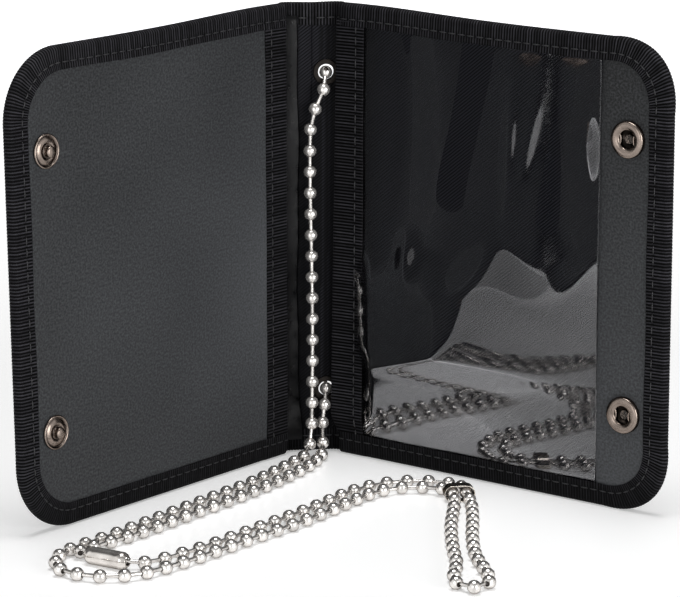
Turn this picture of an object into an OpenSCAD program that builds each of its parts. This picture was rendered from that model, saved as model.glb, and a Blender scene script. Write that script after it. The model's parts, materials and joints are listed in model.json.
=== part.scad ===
/* [Leaves] */
// Height of both leaves, from the foot they stand on to the top edge
leaf_h = 120; // [100:1:150]
// Width of a leaf, from its fold to its outer edge
leaf_w = 103.5; // [90:0.5:130]
// Radius of a leaf's two outer corners
corner_r = 18; // [12:1:26]
// Angle from the middle of the opening to a leaf, as the wallet stands
half_opening = 45; // [40:1:55]

/* [Spine] */
// Width of the flat strip between the two folds
spine_flat_w = 10; // [9:0.5:14]
// Radius of the fold on each side of the flat strip, at mid thickness
fold_r = 4.5; // [4:0.5:7]

/* [Sheets] */
// Thickness of the outer cover of coated cloth
cover_t = 0.7; // [0.6:0.05:1]
// Thickness of the stiffener board in each leaf
board_t = 0.8; // [0.6:0.1:1.2]
// Distance from a leaf's edge to the edge of its board
board_inset = 2.5; // [1.5:0.5:5]
// Thickness of the twill lining
lining_t = 0.35; // [0.3:0.05:0.5]
// Thickness of the smooth divider sheet in the left pocket
divider_t = 0.2; // [0.15:0.05:0.3]
// Distance from the left fold to the mouth edge of the divider sheet
divider_start = 0.6; // [0.4:0.1:2]
// Distance from the other edges of the left leaf to the edge of the divider sheet
divider_inset = 3.5; // [1:0.5:6]
// Thickness of the coated cloth of the pocket panel and the snap strip
panel_t = 0.7; // [0.5:0.05:0.9]
// Thickness of the clear window
window_t = 0.3; // [0.2:0.05:0.4]

/* [Tape] */
// Thickness of the ribbed binding tape
tape_t = 0.35; // [0.3:0.05:0.45]
// Width of a binding leg on a face of the wallet
binding_w = 6; // [5:0.5:7]
// Radius of the binding's two edges where it folds over the rim
binding_round = 1; // [0.6:0.1:1]
// Width of the folded tape along a pocket mouth
mouth_w = 8.6; // [7:0.1:11]
// Distance from the left fold to the left pocket's mouth edge
left_mouth_start = 1; // [0.8:0.1:4]
// Distance from the right fold to the window pocket's mouth edge
right_mouth_start = 0.6; // [0.4:0.1:3]

/* [Snap fasteners] */
// Width of the strip beside the window that carries the sockets
strip_w = 20.2; // [18:0.1:24]
// Distance from a leaf's outer edge to the snap fasteners
snap_inset = 11.9; // [11.8:0.1:15]
// Distance from the top and the foot to the snap fasteners
snap_end_gap = 25; // [22:1:35]
// Diameter of a stud's flange
stud_d = 8.6; // [8:0.1:9.4]
// Diameter of a stud's head
stud_head_d = 2.9; // [2.7:0.05:2.95]
// Height of a stud above the pocket panel
stud_h = 2.2; // [1.9:0.05:2.25]
// Diameter of a socket's rim
socket_d = 9.4; // [9:0.1:9.6]
// Diameter of the hole in a socket
socket_hole_d = 4.5; // [4.3:0.1:4.8]
// Height of a socket above its strip
socket_h = 1.5; // [1.3:0.05:1.55]
// Diameter of the wire of a socket's spring
spring_wire_d = 0.45; // [0.4:0.05:0.5]

/* [Eyelets] */
// Distance of the eyelets from the middle of the spine
eyelet_side = 3.8; // [3.4:0.1:3.9]
// Distance from the top edge to the upper eyelet
upper_eyelet_drop = 17.5; // [14:0.5:24]
// Height of the lower eyelet above the foot
lower_eyelet_rise = 17; // [13:0.5:24]
// Diameter of an eyelet's bore
eyelet_bore_d = 4.2; // [4:0.1:4.4]
// Thickness of an eyelet's barrel
eyelet_wall = 0.3; // [0.2:0.05:0.35]
// Diameter of an eyelet's flange
eyelet_flange_d = 6.8; // [6.4:0.1:7.2]
// Height of an eyelet's flange and of the washer behind it
eyelet_flange_t = 0.5; // [0.4:0.05:0.55]

/* [Ball chain] */
// Diameter of a ball
ball_d = 3.2; // [2.8:0.1:3.2]
// Distance between two balls of the stretched chain
ball_pitch = 5.7; // [5.4:0.1:6]
// Diameter of the wire pin between two balls
pin_d = 1.1; // [0.9:0.05:1.2]
// Length of the coupling that closes the chain
coupling_l = 12; // [12:0.5:14]
// Outer diameter of the coupling
coupling_d = 4.4; // [4.3:0.1:4.6]
// Thickness of the sheet metal of the coupling and the slide
metal_t = 0.35; // [0.3:0.05:0.35]
// Length of the slide that gathers both strands
slide_l = 3; // [2.5:0.5:4]

/* [Hidden] */
$fn = 48;

cloth_grey = "#3a3c3c";
cover_black = "#222324";
tape_black = "#18181a";
lining_black = "#202024";
divider_black = "#2b2d30";
board_grey = "#8a8478";
window_clear = [0.75, 0.78, 0.8, 0.35];
dark_nickel = "#6f6a66";
bright_nickel = "#c9c6c2";

// Overrun of a cut past the face that it opens
cut = 1;
// Gap between a leaf and the spine, all round the fold's axis
fold_gap = 0.2;
// Gap between two sheets that slide on each other in a pocket
slip_gap = 0.1;
// Gap round a post or barrel in the hole of its sheet
post_gap = 0.05;

// Heights of the layers of a leaf. Zero is the middle of the bare spine, positive is inwards.
spine_t = cover_t + lining_t;
v_out = -spine_t / 2;
v_cover = v_out + cover_t;
v_board = v_cover + board_t;
v_lining = v_board + lining_t;
v_divider = v_lining + divider_t;
v_panel_back = v_divider + slip_gap + tape_t;
v_face = v_panel_back + panel_t;
v_window_back = v_face - window_t;
v_tape_top = v_face + tape_t;
v_tape_out = v_out - tape_t;

// Axis of a fold, at the end of the fold's curve
lean = 90 - half_opening;
fold_x = spine_flat_w / 2 + fold_r * sin(lean);
fold_y = -fold_r * (1 - cos(lean));
fold_steps = 9;
end_steps = 8;
// Where the cover and the bindings of a leaf start
cover_start = spine_t / 2 + fold_gap;
binding_start = spine_t / 2 + tape_t + fold_gap;

snap_u = leaf_w - snap_inset;
snap_low = snap_end_gap;
snap_high = leaf_h - snap_end_gap;
upper_eyelet_z = leaf_h - upper_eyelet_drop;

// Stud and socket, by the parts of a turned profile
stud_rim_h = 0.5;
stud_dish_h = 0.3;
stud_ring_r = 2.6;
stud_foot_r = 2;
stud_neck_r = 1.2;
stud_round = 0.7;
post_r = 1.3;
rivet_t = 0.3;
stud_rivet_d = 6.6;
socket_rivet_d = 7.6;
socket_floor_t = 0.25;
socket_roof_t = 0.3;
socket_wall_t = 0.5;
socket_edge_r = 0.5;
spring_gap = 3.25;
spring_bow_share = 1.9;

// Chain
ball_r = ball_d / 2;
ball_recess = 0.2;
pin_seat_gap = 0.02;
pin_side_gap = 0.03;
ball_flat = sqrt(pow(ball_r, 2) - pow(pin_d / 2, 2)) - ball_recess;
route_steps = 8;

// Routes of the chain, in millimetres from the spine's middle at the floor. The ball chain
// runs from the coupling along the floor, up through both eyelets and back to the coupling.
front_route = [
    [-63.6, -98, 2.2], [-66.6, -93.6, 1.9], [-62.6, -88.6, 1.6], [-56, -83.2, 1.6],
    [-50, -77.4, 1.6], [-42, -68.8, 1.6], [-34, -60, 1.6], [-26, -51.6, 1.6],
    [-18, -42.4, 1.6], [-10, -32.2, 1.6], [-3.5, -22.6, 1.6], [0.2, -15, 1.6],
    [1.8, -9.6, 2.2], [2.2, -6, 4.6], [2.4, -3.8, 8.4]
];
lower_route = [[2.4, -3.8, 8.4], [2.9, -3.5, 12.9], [3.8, 0, 17]];
behind_route = [
    [3.8, 0, 17], [3.8, 3.8, 21], [3.8, 3.2, 26.5], [3.7, 2.6, 40], [3.6, 2.5, 60],
    [3.7, 2.6, 80], [3.8, 3.2, 93], [3.8, 3.8, 98.5], [3.8, 0, 102.5]
];
inside_route = [
    [3.8, 0, 102.5], [2.9, -3.7, 98.6], [0.9, -3.7, 94], [-0.6, -3.5, 88.5], [-0.8, -3.5, 76],
    [-0.6, -3.9, 60], [-0.4, -4.4, 45], [-0.4, -5, 30], [-0.6, -5.8, 18], [-0.8, -6.5, 9]
];
back_route = [
    [-0.8, -6.5, 9], [-1.4, -8.2, 4.2], [-2.8, -11.4, 1.9], [-5, -15.2, 1.6], [-12, -25, 1.6],
    [-20, -35.3, 1.6], [-28, -44.3, 1.6], [-36, -53.2, 1.6], [-44, -62.2, 1.6],
    [-52, -71.6, 1.6], [-60, -80.5, 1.6], [-67, -88, 1.6], [-71.2, -94.2, 1.6],
    [-72.8, -101, 1.6]
];
outer_left_route = [
    [-72.8, -101, 1.6], [-71.8, -107, 1.6], [-67.6, -111.4, 1.6], [-62, -113.6, 1.6],
    [-56.5, -113.4, 1.6], [-51, -111.2, 1.6], [-45, -106.6, 1.6], [-38, -100.3, 1.6],
    [-30, -92.4, 1.6], [-21.5, -84, 1.6], [-13, -76, 1.6], [-6, -68.4, 1.6],
    [-1.7, -63.6, 1.6]
];
outer_right_route = [
    [-1.7, -63.6, 1.6], [4, -56.8, 1.6], [8.5, -51.6, 1.6], [13, -48, 1.6], [18, -46.2, 1.6],
    [22.6, -46.4, 1.6], [26.6, -48, 1.8], [29.2, -51, 2.2], [29.8, -54, 2.2]
];
loop_route = [
    [29.8, -54, 2.2], [29.6, -59, 1.9], [28.8, -64, 1.6], [27.2, -72, 1.6], [25.6, -80, 1.6],
    [24.4, -88, 1.6], [23.4, -96, 1.6], [22.6, -104, 1.6], [22, -112, 1.6],
    [20.6, -119.5, 1.6], [19.2, -126, 1.6], [20.6, -131, 1.6], [24.6, -132, 1.6],
    [27.4, -128, 1.6], [27.8, -121, 1.6], [27.4, -112, 1.6], [27.6, -104, 1.6],
    [28.5, -96, 1.6], [29.6, -88, 1.6], [31, -80, 1.6], [32.2, -72, 1.6],
    [33.2, -64, 1.6], [33.4, -59, 1.9], [33.4, -54, 2.2]
];
inner_right_route = [
    [33.4, -54, 2.2], [33.2, -49.4, 2.2], [31.4, -44.6, 1.8], [26.8, -41.4, 1.6],
    [21, -40.2, 1.6], [15, -41.2, 1.6], [10, -43.8, 1.6], [5, -47.8, 1.6], [1.7, -51.4, 1.6]
];
inner_left_route = [
    [1.7, -51.4, 1.6], [-4, -57.4, 1.6], [-11, -64.6, 1.6], [-19, -72.8, 1.6],
    [-28, -82.2, 1.6], [-36, -90.4, 1.6], [-42.5, -96.4, 1.6], [-47.6, -100.9, 1.6],
    [-52.2, -104, 1.8], [-57.4, -103, 2.2]
];
// Middle of the slide, and how far apart the two strands run through it
slide_at = [31.6, -54, 2.2];
strand_gap = 3.6;
slide_play = 0.2;

// Point on a curve through b and c, with a before them and d after them
function between(a, b, c, d, t) =
    0.5 * (2 * b + (c - a) * t + (2 * a - 5 * b + 4 * c - d) * t * t
    + (3 * b - a - 3 * c + d) * t * t * t);
// The route with smooth curves between its points
function smooth(p) = let (last = len(p) - 1) concat(
    [for (i = [0:last - 1]) for (k = [0:route_steps - 1])
        between(p[max(i - 1, 0)], p[i], p[i + 1], p[min(i + 2, last)], k / route_steps)],
    [p[last]]);
// Length along a line up to each of its points
function run_up(q) = [for (i = 0, s = 0; i < len(q);
    s = s + (i < len(q) - 1 ? norm(q[i + 1] - q[i]) : 0), i = i + 1) s];
// Point at length s along a line
function point_at(q, up, s) =
    [for (axis = [0:2]) lookup(s, [for (i = [0:len(q) - 1]) [up[i], q[i][axis]]])];
// The same place, with its ball no lower than the floor
function on_floor(p) = [p[0], p[1], max(p[2], ball_r)];
// Centres of the balls along a route, both ends included
function balls(route) = let (
    q = smooth(route),
    up = run_up(q),
    total = up[len(up) - 1],
    count = max(1, round(total / ball_pitch)))
    [for (i = [0:count]) on_floor(point_at(q, up, i * total / count))];

// Turns children that point along +Z to point from one place to another
module aim(from, to) {
    d = to - from;
    translate(from)
        rotate([0, acos(d[2] / norm(d)), atan2(d[1], d[0])])
            children();
}

// One ball with a recess towards each neighbour
module ball(at, neighbours) {
    difference() {
        translate(at) sphere(d = ball_d);
        for (n = neighbours)
            aim(at, n)
                translate([0, 0, ball_flat])
                    cylinder(d = pin_d + 2 * pin_side_gap, h = ball_r, $fn = 24);
    }
}

// The pin between two balls, seated in their recesses
module pin(a, b) {
    aim(a, b)
        translate([0, 0, ball_flat + pin_seat_gap])
            cylinder(d = pin_d, h = norm(b - a) - 2 * (ball_flat + pin_seat_gap), $fn = 24);
}

// A stretch of chain along a route. The ball at its start has a recess for the pin of the
// stretch on the route before it, and the ball at its end belongs to the next stretch.
module stretch(route, before = [], closes = false) {
    places = balls(route);
    earlier = before == [] ? [] : balls(before);
    last = len(places) - 1;
    color(bright_nickel) {
        for (i = [0:closes ? last : last - 1])
            ball(places[i], concat(
                i > 0 ? [places[i - 1]] : before == [] ? [] : [earlier[len(earlier) - 2]],
                i < last ? [places[i + 1]] : []));
        for (i = [0:last - 1]) pin(places[i], places[i + 1]);
    }
}

// Half the outline of a sheet of the spine seen from above, from thickness b outside its middle
// to thickness a inside it: the outer arc of the fold, a round end, and the inner arc
function fold_outline(a, b) = let (
    middle = [spine_flat_w / 2, -fold_r],
    end = [fold_x, fold_y] + (b - a) / 2 * [sin(lean), cos(lean)])
    concat(
        [for (i = [0:fold_steps]) let (turn = lean * i / fold_steps)
            middle + (fold_r + b) * [sin(turn), cos(turn)]],
        [for (i = [1:end_steps - 1]) let (turn = lean + 180 * i / end_steps)
            end + (a + b) / 2 * [sin(turn), cos(turn)]],
        [for (i = [fold_steps:-1:0]) let (turn = lean * i / fold_steps)
            middle + (fold_r - a) * [sin(turn), cos(turn)]]);

// A sheet of the spine seen from above
module spine_sheet(a, b) {
    half = fold_outline(a, b);
    polygon(concat(half, [for (i = [len(half) - 1:-1:0]) [-half[i][0], half[i][1]]]));
}

// Places children of a leaf: x runs from the fold to the outer edge, y outwards, z up
module on_leaf(left = false) {
    mirror([left ? 1 : 0, 0, 0])
        translate([fold_x, fold_y, 0])
            rotate([0, 0, -lean])
                children();
}

// Gives a flat shape in x and z the thickness from layer height a to b
module slab(a, b) {
    translate([0, -a, 0]) rotate([90, 0, 0]) linear_extrude(b - a) children();
}

// Outline of a leaf from distance start, drawn in by inset at its other three sides
module leaf_shape(start, inset, end = leaf_w) {
    far = min(end, leaf_w - inset);
    translate([start, inset])
        square([min(far, leaf_w - corner_r) - start, leaf_h - 2 * inset]);
    if (far > leaf_w - corner_r)
        intersection() {
            union() {
                translate([leaf_w - corner_r - cut, corner_r])
                    square([corner_r + cut - inset, leaf_h - 2 * corner_r]);
                for (z = [corner_r, leaf_h - corner_r])
                    translate([leaf_w - corner_r, z]) circle(r = corner_r - inset, $fn = 96);
            }
            translate([leaf_w - corner_r - cut, 0]) square([far - leaf_w + corner_r + cut, leaf_h]);
        }
}

// Everything on the far side of a line along the mouth of a pocket
module beyond(start) {
    translate([start, -cut]) square([leaf_w, leaf_h + 2 * cut]);
}

// Folded tape in section: x from the rim inwards, y through the layers
module tape_fold() {
    difference() {
        union() {
            translate([binding_round, v_tape_out])
                square([binding_w - binding_round, v_tape_top - v_tape_out]);
            translate([0, v_tape_out + binding_round])
                square([binding_w, v_tape_top - v_tape_out - 2 * binding_round]);
            for (y = [v_tape_out + binding_round, v_tape_top - binding_round])
                translate([binding_round, y]) circle(r = binding_round, $fn = 32);
        }
        translate([tape_t, v_out]) square([binding_w, v_face - v_out]);
    }
}

// Binding round the foot, the outer edge and the top of a leaf
module leaf_binding() {
    run_w = leaf_w - corner_r - binding_start;
    color(tape_black) {
        translate([binding_start, 0, 0])
            rotate([90, 0, 90]) linear_extrude(run_w) rotate(90) tape_fold();
        translate([binding_start, 0, leaf_h])
            rotate([90, 0, 90]) linear_extrude(run_w) mirror([0, 1]) rotate(90) tape_fold();
        translate([leaf_w, 0, corner_r])
            linear_extrude(leaf_h - 2 * corner_r) rotate(180) tape_fold();
        for (top = [0, 1])
            translate([leaf_w - corner_r, 0, top == 1 ? leaf_h - corner_r : corner_r])
                rotate([90, 0, 0])
                    rotate([0, 0, top == 1 ? 0 : -90])
                        rotate_extrude(angle = 90, $fn = 96)
                            translate([corner_r, 0]) mirror([1, 0]) tape_fold();
    }
}

// Folded tape over the mouth edge of a pocket, from layer height a to the face
module mouth_tape(start, a) {
    color(tape_black)
        difference() {
            slab(a - tape_t, v_tape_top)
                translate([start, binding_w]) square([mouth_w, leaf_h - 2 * binding_w]);
            slab(a, v_face)
                translate([start + tape_t, 0]) square([mouth_w, leaf_h]);
        }
}

// Turned piece on a leaf's snap line, its foot on layer height v
module on_snap(z, v) {
    translate([snap_u, -v, z]) rotate([90, 0, 0]) children();
}

// Hole for a snap's post
module post_hole(z) {
    on_snap(z, 0) translate([0, 0, v_panel_back - cut])
        cylinder(r = post_r + post_gap, h = panel_t + 2 * cut, $fn = 32);
}

module stud() {
    color(dark_nickel) {
        rotate_extrude() {
            polygon([
                [0, 0], [stud_d / 2, 0], [stud_d / 2, stud_dish_h],
                [stud_d / 2 - stud_dish_h / 2, stud_rim_h], [stud_d / 2 - stud_rim_h, stud_rim_h],
                [stud_ring_r + stud_dish_h, stud_dish_h], [stud_ring_r, stud_dish_h],
                [stud_foot_r, stud_rim_h], [0, stud_rim_h]
            ]);
            square([stud_neck_r, stud_h - stud_round]);
            square([stud_head_d / 2 - stud_round, stud_h]);
            translate([stud_head_d / 2 - stud_round, stud_h - stud_round]) circle(r = stud_round);
        }
        translate([0, 0, -panel_t]) cylinder(r = post_r, h = panel_t + stud_dish_h);
    }
}

// Disc that clenches a post behind its sheet
module rivet(d) {
    color(dark_nickel) {
        translate([0, 0, -rivet_t]) cylinder(d = d, h = rivet_t);
    }
}

// Sheet metal socket: floor with its post, side wall, and a roof with a hole and a rolled rim
module socket() {
    color(dark_nickel) {
        difference() {
            union() {
                cylinder(d = socket_d, h = socket_h - socket_edge_r);
                translate([0, 0, socket_h - socket_edge_r])
                    rotate_extrude()
                        translate([socket_d / 2 - socket_edge_r, 0]) circle(r = socket_edge_r, $fn = 24);
                cylinder(d = socket_d - 2 * socket_edge_r, h = socket_h);
                translate([0, 0, -panel_t]) cylinder(r = post_r, h = panel_t);
            }
            translate([0, 0, socket_floor_t])
                cylinder(
                    d = socket_d - 2 * socket_wall_t,
                    h = socket_h - socket_floor_t - socket_roof_t);
            translate([0, 0, socket_floor_t]) cylinder(d = socket_hole_d, h = socket_h);
            translate([0, 0, -panel_t / 2]) cylinder(r = post_r - rivet_t, h = socket_h);
        }
    }
}

// Two bowed wires that grip the head of a stud
module socket_spring() {
    inner_r = socket_d / 2 - socket_wall_t;
    bow_r = spring_gap / 2 * spring_bow_share;
    level = socket_h - socket_roof_t - slip_gap - spring_wire_d / 2;
    color(dark_nickel)
        intersection() {
            for (side = [0, 1])
                rotate([0, 0, 180 * side])
                    translate([spring_gap / 2 + spring_wire_d / 2 + bow_r, 0, level])
                        rotate([0, 0, 90])
                            rotate_extrude(angle = 180)
                                translate([bow_r, 0]) circle(d = spring_wire_d, $fn = 16);
            cylinder(r = inner_r - slip_gap, h = socket_h);
        }
}

// Eyelet with its barrel, seen from the inside of the spine, pointing along +Z
module eyelet() {
    barrel_r = eyelet_bore_d / 2 + eyelet_wall;
    edge = eyelet_flange_t / 2;
    color(dark_nickel)
        rotate_extrude() {
            translate([eyelet_bore_d / 2, -spine_t - edge]) square([eyelet_wall, spine_t + edge]);
            translate([eyelet_bore_d / 2 + edge, 0])
                square([eyelet_flange_d / 2 - eyelet_bore_d / 2 - 2 * edge, eyelet_flange_t]);
            translate([eyelet_bore_d / 2, 0])
                square([eyelet_flange_d / 2 - eyelet_bore_d / 2, edge]);
            for (r = [eyelet_bore_d / 2 + edge, eyelet_flange_d / 2 - edge])
                translate([r, edge]) circle(r = edge, $fn = 24);
        }
}

module eyelet_washer() {
    color(dark_nickel)
        rotate_extrude()
            difference() {
                translate([eyelet_bore_d / 2 + eyelet_wall + post_gap, 0])
                    square([
                        (eyelet_flange_d - eyelet_bore_d) / 2 - eyelet_wall - post_gap,
                        eyelet_flange_t]);
                translate([eyelet_flange_d / 2, eyelet_flange_t]) circle(r = eyelet_flange_t / 2, $fn = 24);
            }
}

module on_spine_inside(z) {
    translate([eyelet_side, -spine_t / 2, z]) rotate([90, 0, 0]) children();
}

module on_spine_outside(z) {
    translate([eyelet_side, spine_t / 2, z]) rotate([-90, 0, 0]) children();
}

// Room for both eyelets: their barrels, and their flanges where the fold begins
module eyelet_room() {
    for (z = [lower_eyelet_rise, upper_eyelet_z])
        on_spine_inside(z) {
            translate([0, 0, -spine_t - cut])
                cylinder(d = eyelet_bore_d + 2 * (eyelet_wall + post_gap), h = spine_t + 2 * cut);
            cylinder(d = eyelet_flange_d + 2 * post_gap, h = fold_r);
        }
}

module spine_cover() {
    color(cover_black)
        difference() {
            translate([0, 0, tape_t])
                linear_extrude(leaf_h - 2 * tape_t) spine_sheet(v_cover, -v_out);
            eyelet_room();
        }
}

module spine_lining() {
    color(lining_black)
        difference() {
            translate([0, 0, tape_t])
                linear_extrude(leaf_h - 2 * tape_t) spine_sheet(spine_t / 2, -v_cover);
            eyelet_room();
        }
}

module spine_binding(top) {
    color(tape_black)
        translate([0, 0, top ? leaf_h : 0])
            mirror([0, 0, top ? 1 : 0])
                difference() {
                    linear_extrude(binding_w)
                        spine_sheet(spine_t / 2 + tape_t, spine_t / 2 + tape_t);
                    translate([0, 0, tape_t])
                        linear_extrude(binding_w) spine_sheet(spine_t / 2, spine_t / 2);
                }
}

module leaf_cover() {
    color(cover_black)
        slab(v_out, v_cover)
            difference() {
                leaf_shape(cover_start, tape_t);
                for (z = [-cut, leaf_h - binding_w - fold_gap])
                    translate([0, z]) square([binding_start, binding_w + fold_gap + cut]);
            }
}

module leaf_board() {
    color(board_grey) slab(v_cover, v_board) leaf_shape(board_inset, board_inset);
}

module leaf_lining() {
    color(lining_black) slab(v_board, v_lining) leaf_shape(cover_start, tape_t);
}

module divider() {
    color(divider_black)
        slab(v_lining, v_divider) leaf_shape(divider_start, divider_inset);
}

module pocket_panel() {
    color(cloth_grey)
        difference() {
            slab(v_panel_back, v_face) leaf_shape(left_mouth_start + tape_t, tape_t);
            for (z = [snap_low, snap_high]) post_hole(z);
        }
}

module window() {
    color(window_clear)
        slab(v_window_back, v_face)
            leaf_shape(right_mouth_start + tape_t, tape_t, leaf_w - strip_w);
}

module strip() {
    color(cloth_grey)
        difference() {
            slab(v_panel_back, v_face)
                intersection() {
                    leaf_shape(cover_start, tape_t);
                    beyond(leaf_w - strip_w);
                }
            for (z = [snap_low, snap_high]) post_hole(z);
        }
}

// Trough of sheet metal, open along the side towards the wallet, that holds the ball at each
// end of the chain
module coupling() {
    head = front_route[0];
    tail = inner_left_route[len(inner_left_route) - 1];
    color(bright_nickel)
        aim((head + tail) / 2, tail)
            difference() {
                translate([0, 0, -coupling_l / 2]) cylinder(d = coupling_d, h = coupling_l);
                translate([0, 0, metal_t - coupling_l / 2])
                    cylinder(d = coupling_d - 2 * metal_t, h = coupling_l - 2 * metal_t);
                cube([pin_d + 2 * metal_t, coupling_d - 2 * metal_t, coupling_l + cut], center = true);
                translate([-ball_r, 0, ball_r - coupling_l / 2])
                    cube([ball_d, coupling_d, coupling_l - ball_d]);
            }
}

module slide() {
    inner_h = ball_d + 2 * slide_play;
    color(bright_nickel)
        translate(slide_at)
            rotate([90, 0, 0])
                translate([0, 0, -slide_l / 2])
                    linear_extrude(slide_l)
                        difference() {
                            slide_outline(inner_h + 2 * metal_t);
                            slide_outline(inner_h);
                        }
}

module slide_outline(h) {
    square([strand_gap, h], center = true);
    for (side = [-1, 1]) translate([side * strand_gap / 2, 0]) circle(d = h, $fn = 40);
}

// The whole wallet stands with the middle of its box on the origin
module placed() {
    back = spine_t / 2 + eyelet_flange_t;
    front = fold_y - binding_round - (leaf_w - binding_round) * sin(lean)
        - (v_tape_top - binding_round) * cos(lean);
    translate([0, -(back + front) / 2, 0]) children();
}

module on_left() {
    placed() on_leaf(true) children();
}

module on_right() {
    placed() on_leaf() children();
}

placed() spine_cover();
placed() spine_lining();
placed() spine_binding(true);  // spine_binding_top
placed() spine_binding(false);  // spine_binding_bottom
placed() on_spine_inside(upper_eyelet_z) eyelet();  // upper_eyelet
placed() on_spine_outside(upper_eyelet_z) eyelet_washer();  // upper_eyelet_washer
placed() on_spine_inside(lower_eyelet_rise) eyelet();  // lower_eyelet
placed() on_spine_outside(lower_eyelet_rise) eyelet_washer();  // lower_eyelet_washer

on_left() leaf_cover();  // left_cover
on_left() leaf_board();  // left_board
on_left() leaf_lining();  // left_lining
on_left() divider();  // left_divider
on_left() pocket_panel();  // left_pocket_panel
on_left() mouth_tape(left_mouth_start, v_panel_back);  // left_mouth_tape
on_left() leaf_binding();  // left_binding
on_left() on_snap(snap_high, v_face) stud();  // upper_stud
on_left() on_snap(snap_high, v_panel_back) rivet(stud_rivet_d);  // upper_stud_rivet
on_left() on_snap(snap_low, v_face) stud();  // lower_stud
on_left() on_snap(snap_low, v_panel_back) rivet(stud_rivet_d);  // lower_stud_rivet

on_right() leaf_cover();  // right_cover
on_right() leaf_board();  // right_board
on_right() leaf_lining();  // right_lining
on_right() window();  // clear_window
on_right() strip();  // snap_strip
on_right() mouth_tape(right_mouth_start, v_window_back);  // right_mouth_tape
on_right() leaf_binding();  // right_binding
on_right() on_snap(snap_high, v_face) socket();  // upper_socket
on_right() on_snap(snap_high, v_face) socket_spring();  // upper_socket_spring
on_right() on_snap(snap_high, v_panel_back) rivet(socket_rivet_d);  // upper_socket_rivet
on_right() on_snap(snap_low, v_face) socket();  // lower_socket
on_right() on_snap(snap_low, v_face) socket_spring();  // lower_socket_spring
on_right() on_snap(snap_low, v_panel_back) rivet(socket_rivet_d);  // lower_socket_rivet

placed() stretch(front_route);  // chain_front_row
placed() stretch(lower_route, front_route);  // chain_lower_run
placed() stretch(behind_route, lower_route);  // chain_behind_run
placed() stretch(inside_route, behind_route);  // chain_inside_run
placed() stretch(back_route, inside_route);  // chain_back_row
placed() stretch(outer_left_route, back_route);  // chain_outer_return_left
placed() stretch(outer_right_route, outer_left_route);  // chain_outer_return_right
placed() stretch(loop_route, outer_right_route);  // chain_front_loop
placed() stretch(inner_right_route, loop_route);  // chain_inner_return_right
placed() stretch(inner_left_route, inner_right_route, true);  // chain_inner_return_left
placed() coupling();  // chain_coupling
placed() slide();  // chain_slide
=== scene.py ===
"""Looks of the id badge wallet with its neck chain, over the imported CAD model.

All lengths are in metres, in the model's own frame. The wallet stands open on its foot: the
spine faces +Y, and the two leaves come forward to the left and the right. A point of a leaf is
given by u, its distance from the fold, z, its height, and v, its layer: v is 0 at the middle of
the bare spine and grows inwards. A sheet that also crosses the spine uses a, the distance along
it from the middle of the spine, in place of u.
"""
import json
import math

import bpy
import numpy as np
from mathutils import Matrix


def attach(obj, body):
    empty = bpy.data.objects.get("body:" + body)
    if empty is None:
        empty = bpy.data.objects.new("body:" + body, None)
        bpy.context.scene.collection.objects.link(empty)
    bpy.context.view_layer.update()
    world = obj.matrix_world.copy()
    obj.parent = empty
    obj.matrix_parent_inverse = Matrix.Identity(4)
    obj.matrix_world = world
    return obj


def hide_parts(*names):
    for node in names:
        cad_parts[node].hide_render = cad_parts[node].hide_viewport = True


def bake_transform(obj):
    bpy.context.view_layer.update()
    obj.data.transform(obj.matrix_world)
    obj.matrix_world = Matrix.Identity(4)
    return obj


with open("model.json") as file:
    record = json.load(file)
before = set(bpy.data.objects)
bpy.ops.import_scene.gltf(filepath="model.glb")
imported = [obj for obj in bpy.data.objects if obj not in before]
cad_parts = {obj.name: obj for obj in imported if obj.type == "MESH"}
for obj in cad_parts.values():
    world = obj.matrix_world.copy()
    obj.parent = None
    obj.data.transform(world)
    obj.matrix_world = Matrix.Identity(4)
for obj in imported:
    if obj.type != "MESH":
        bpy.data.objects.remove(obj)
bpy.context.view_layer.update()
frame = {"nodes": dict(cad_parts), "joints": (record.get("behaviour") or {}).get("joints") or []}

MM = 0.001
LEFT, RIGHT = -1, 1
SIDE_NAME = {LEFT: "left", RIGHT: "right"}

# Sizes that the CAD model has too
LEAF_H, LEAF_W, CORNER_R = 120 * MM, 103.5 * MM, 18 * MM
FLAT_HALF, FOLD_R, LEAN = 5 * MM, 4.5 * MM, math.radians(45)
SPINE_T, TAPE_T, BINDING_W = 1.05 * MM, 0.35 * MM, 6 * MM
V_OUT, V_COVER, V_BOARD, V_LINING = -0.525 * MM, 0.175 * MM, 0.975 * MM, 1.325 * MM
V_PANEL_BACK, V_WINDOW_BACK, V_FACE = 1.975 * MM, 2.375 * MM, 2.675 * MM
WINDOW_END = 83.3 * MM
BOARD_INSET = 2.5 * MM
MOUTH, MOUTH_W = {LEFT: 1 * MM, RIGHT: 0.6 * MM}, 8.6 * MM
SNAP_U, SNAP_Z = 91.6 * MM, (25 * MM, 95 * MM)
EYELET_X, EYELET_Z, EYELET_ROOM = 3.8 * MM, (17 * MM, 102.5 * MM), 2.65 * MM
BALL_R, BALL_PITCH, PIN_R = 1.6 * MM, 5.7 * MM, 0.55 * MM

FOLD_X = FLAT_HALF + FOLD_R * math.sin(LEAN)
FOLD_Y = -FOLD_R * (1 - math.cos(LEAN))
FOLD_A = FLAT_HALF + FOLD_R * LEAN
SHIFT_Y = next(j["pos_m"][1] for j in frame["joints"] if j["name"] == "right_fold") - FOLD_Y


# Meshes

def show(name, data):
    """An object with that data, in the scene."""
    piece = bpy.data.objects.new(name, data)
    bpy.context.scene.collection.objects.link(piece)
    return piece


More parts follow.
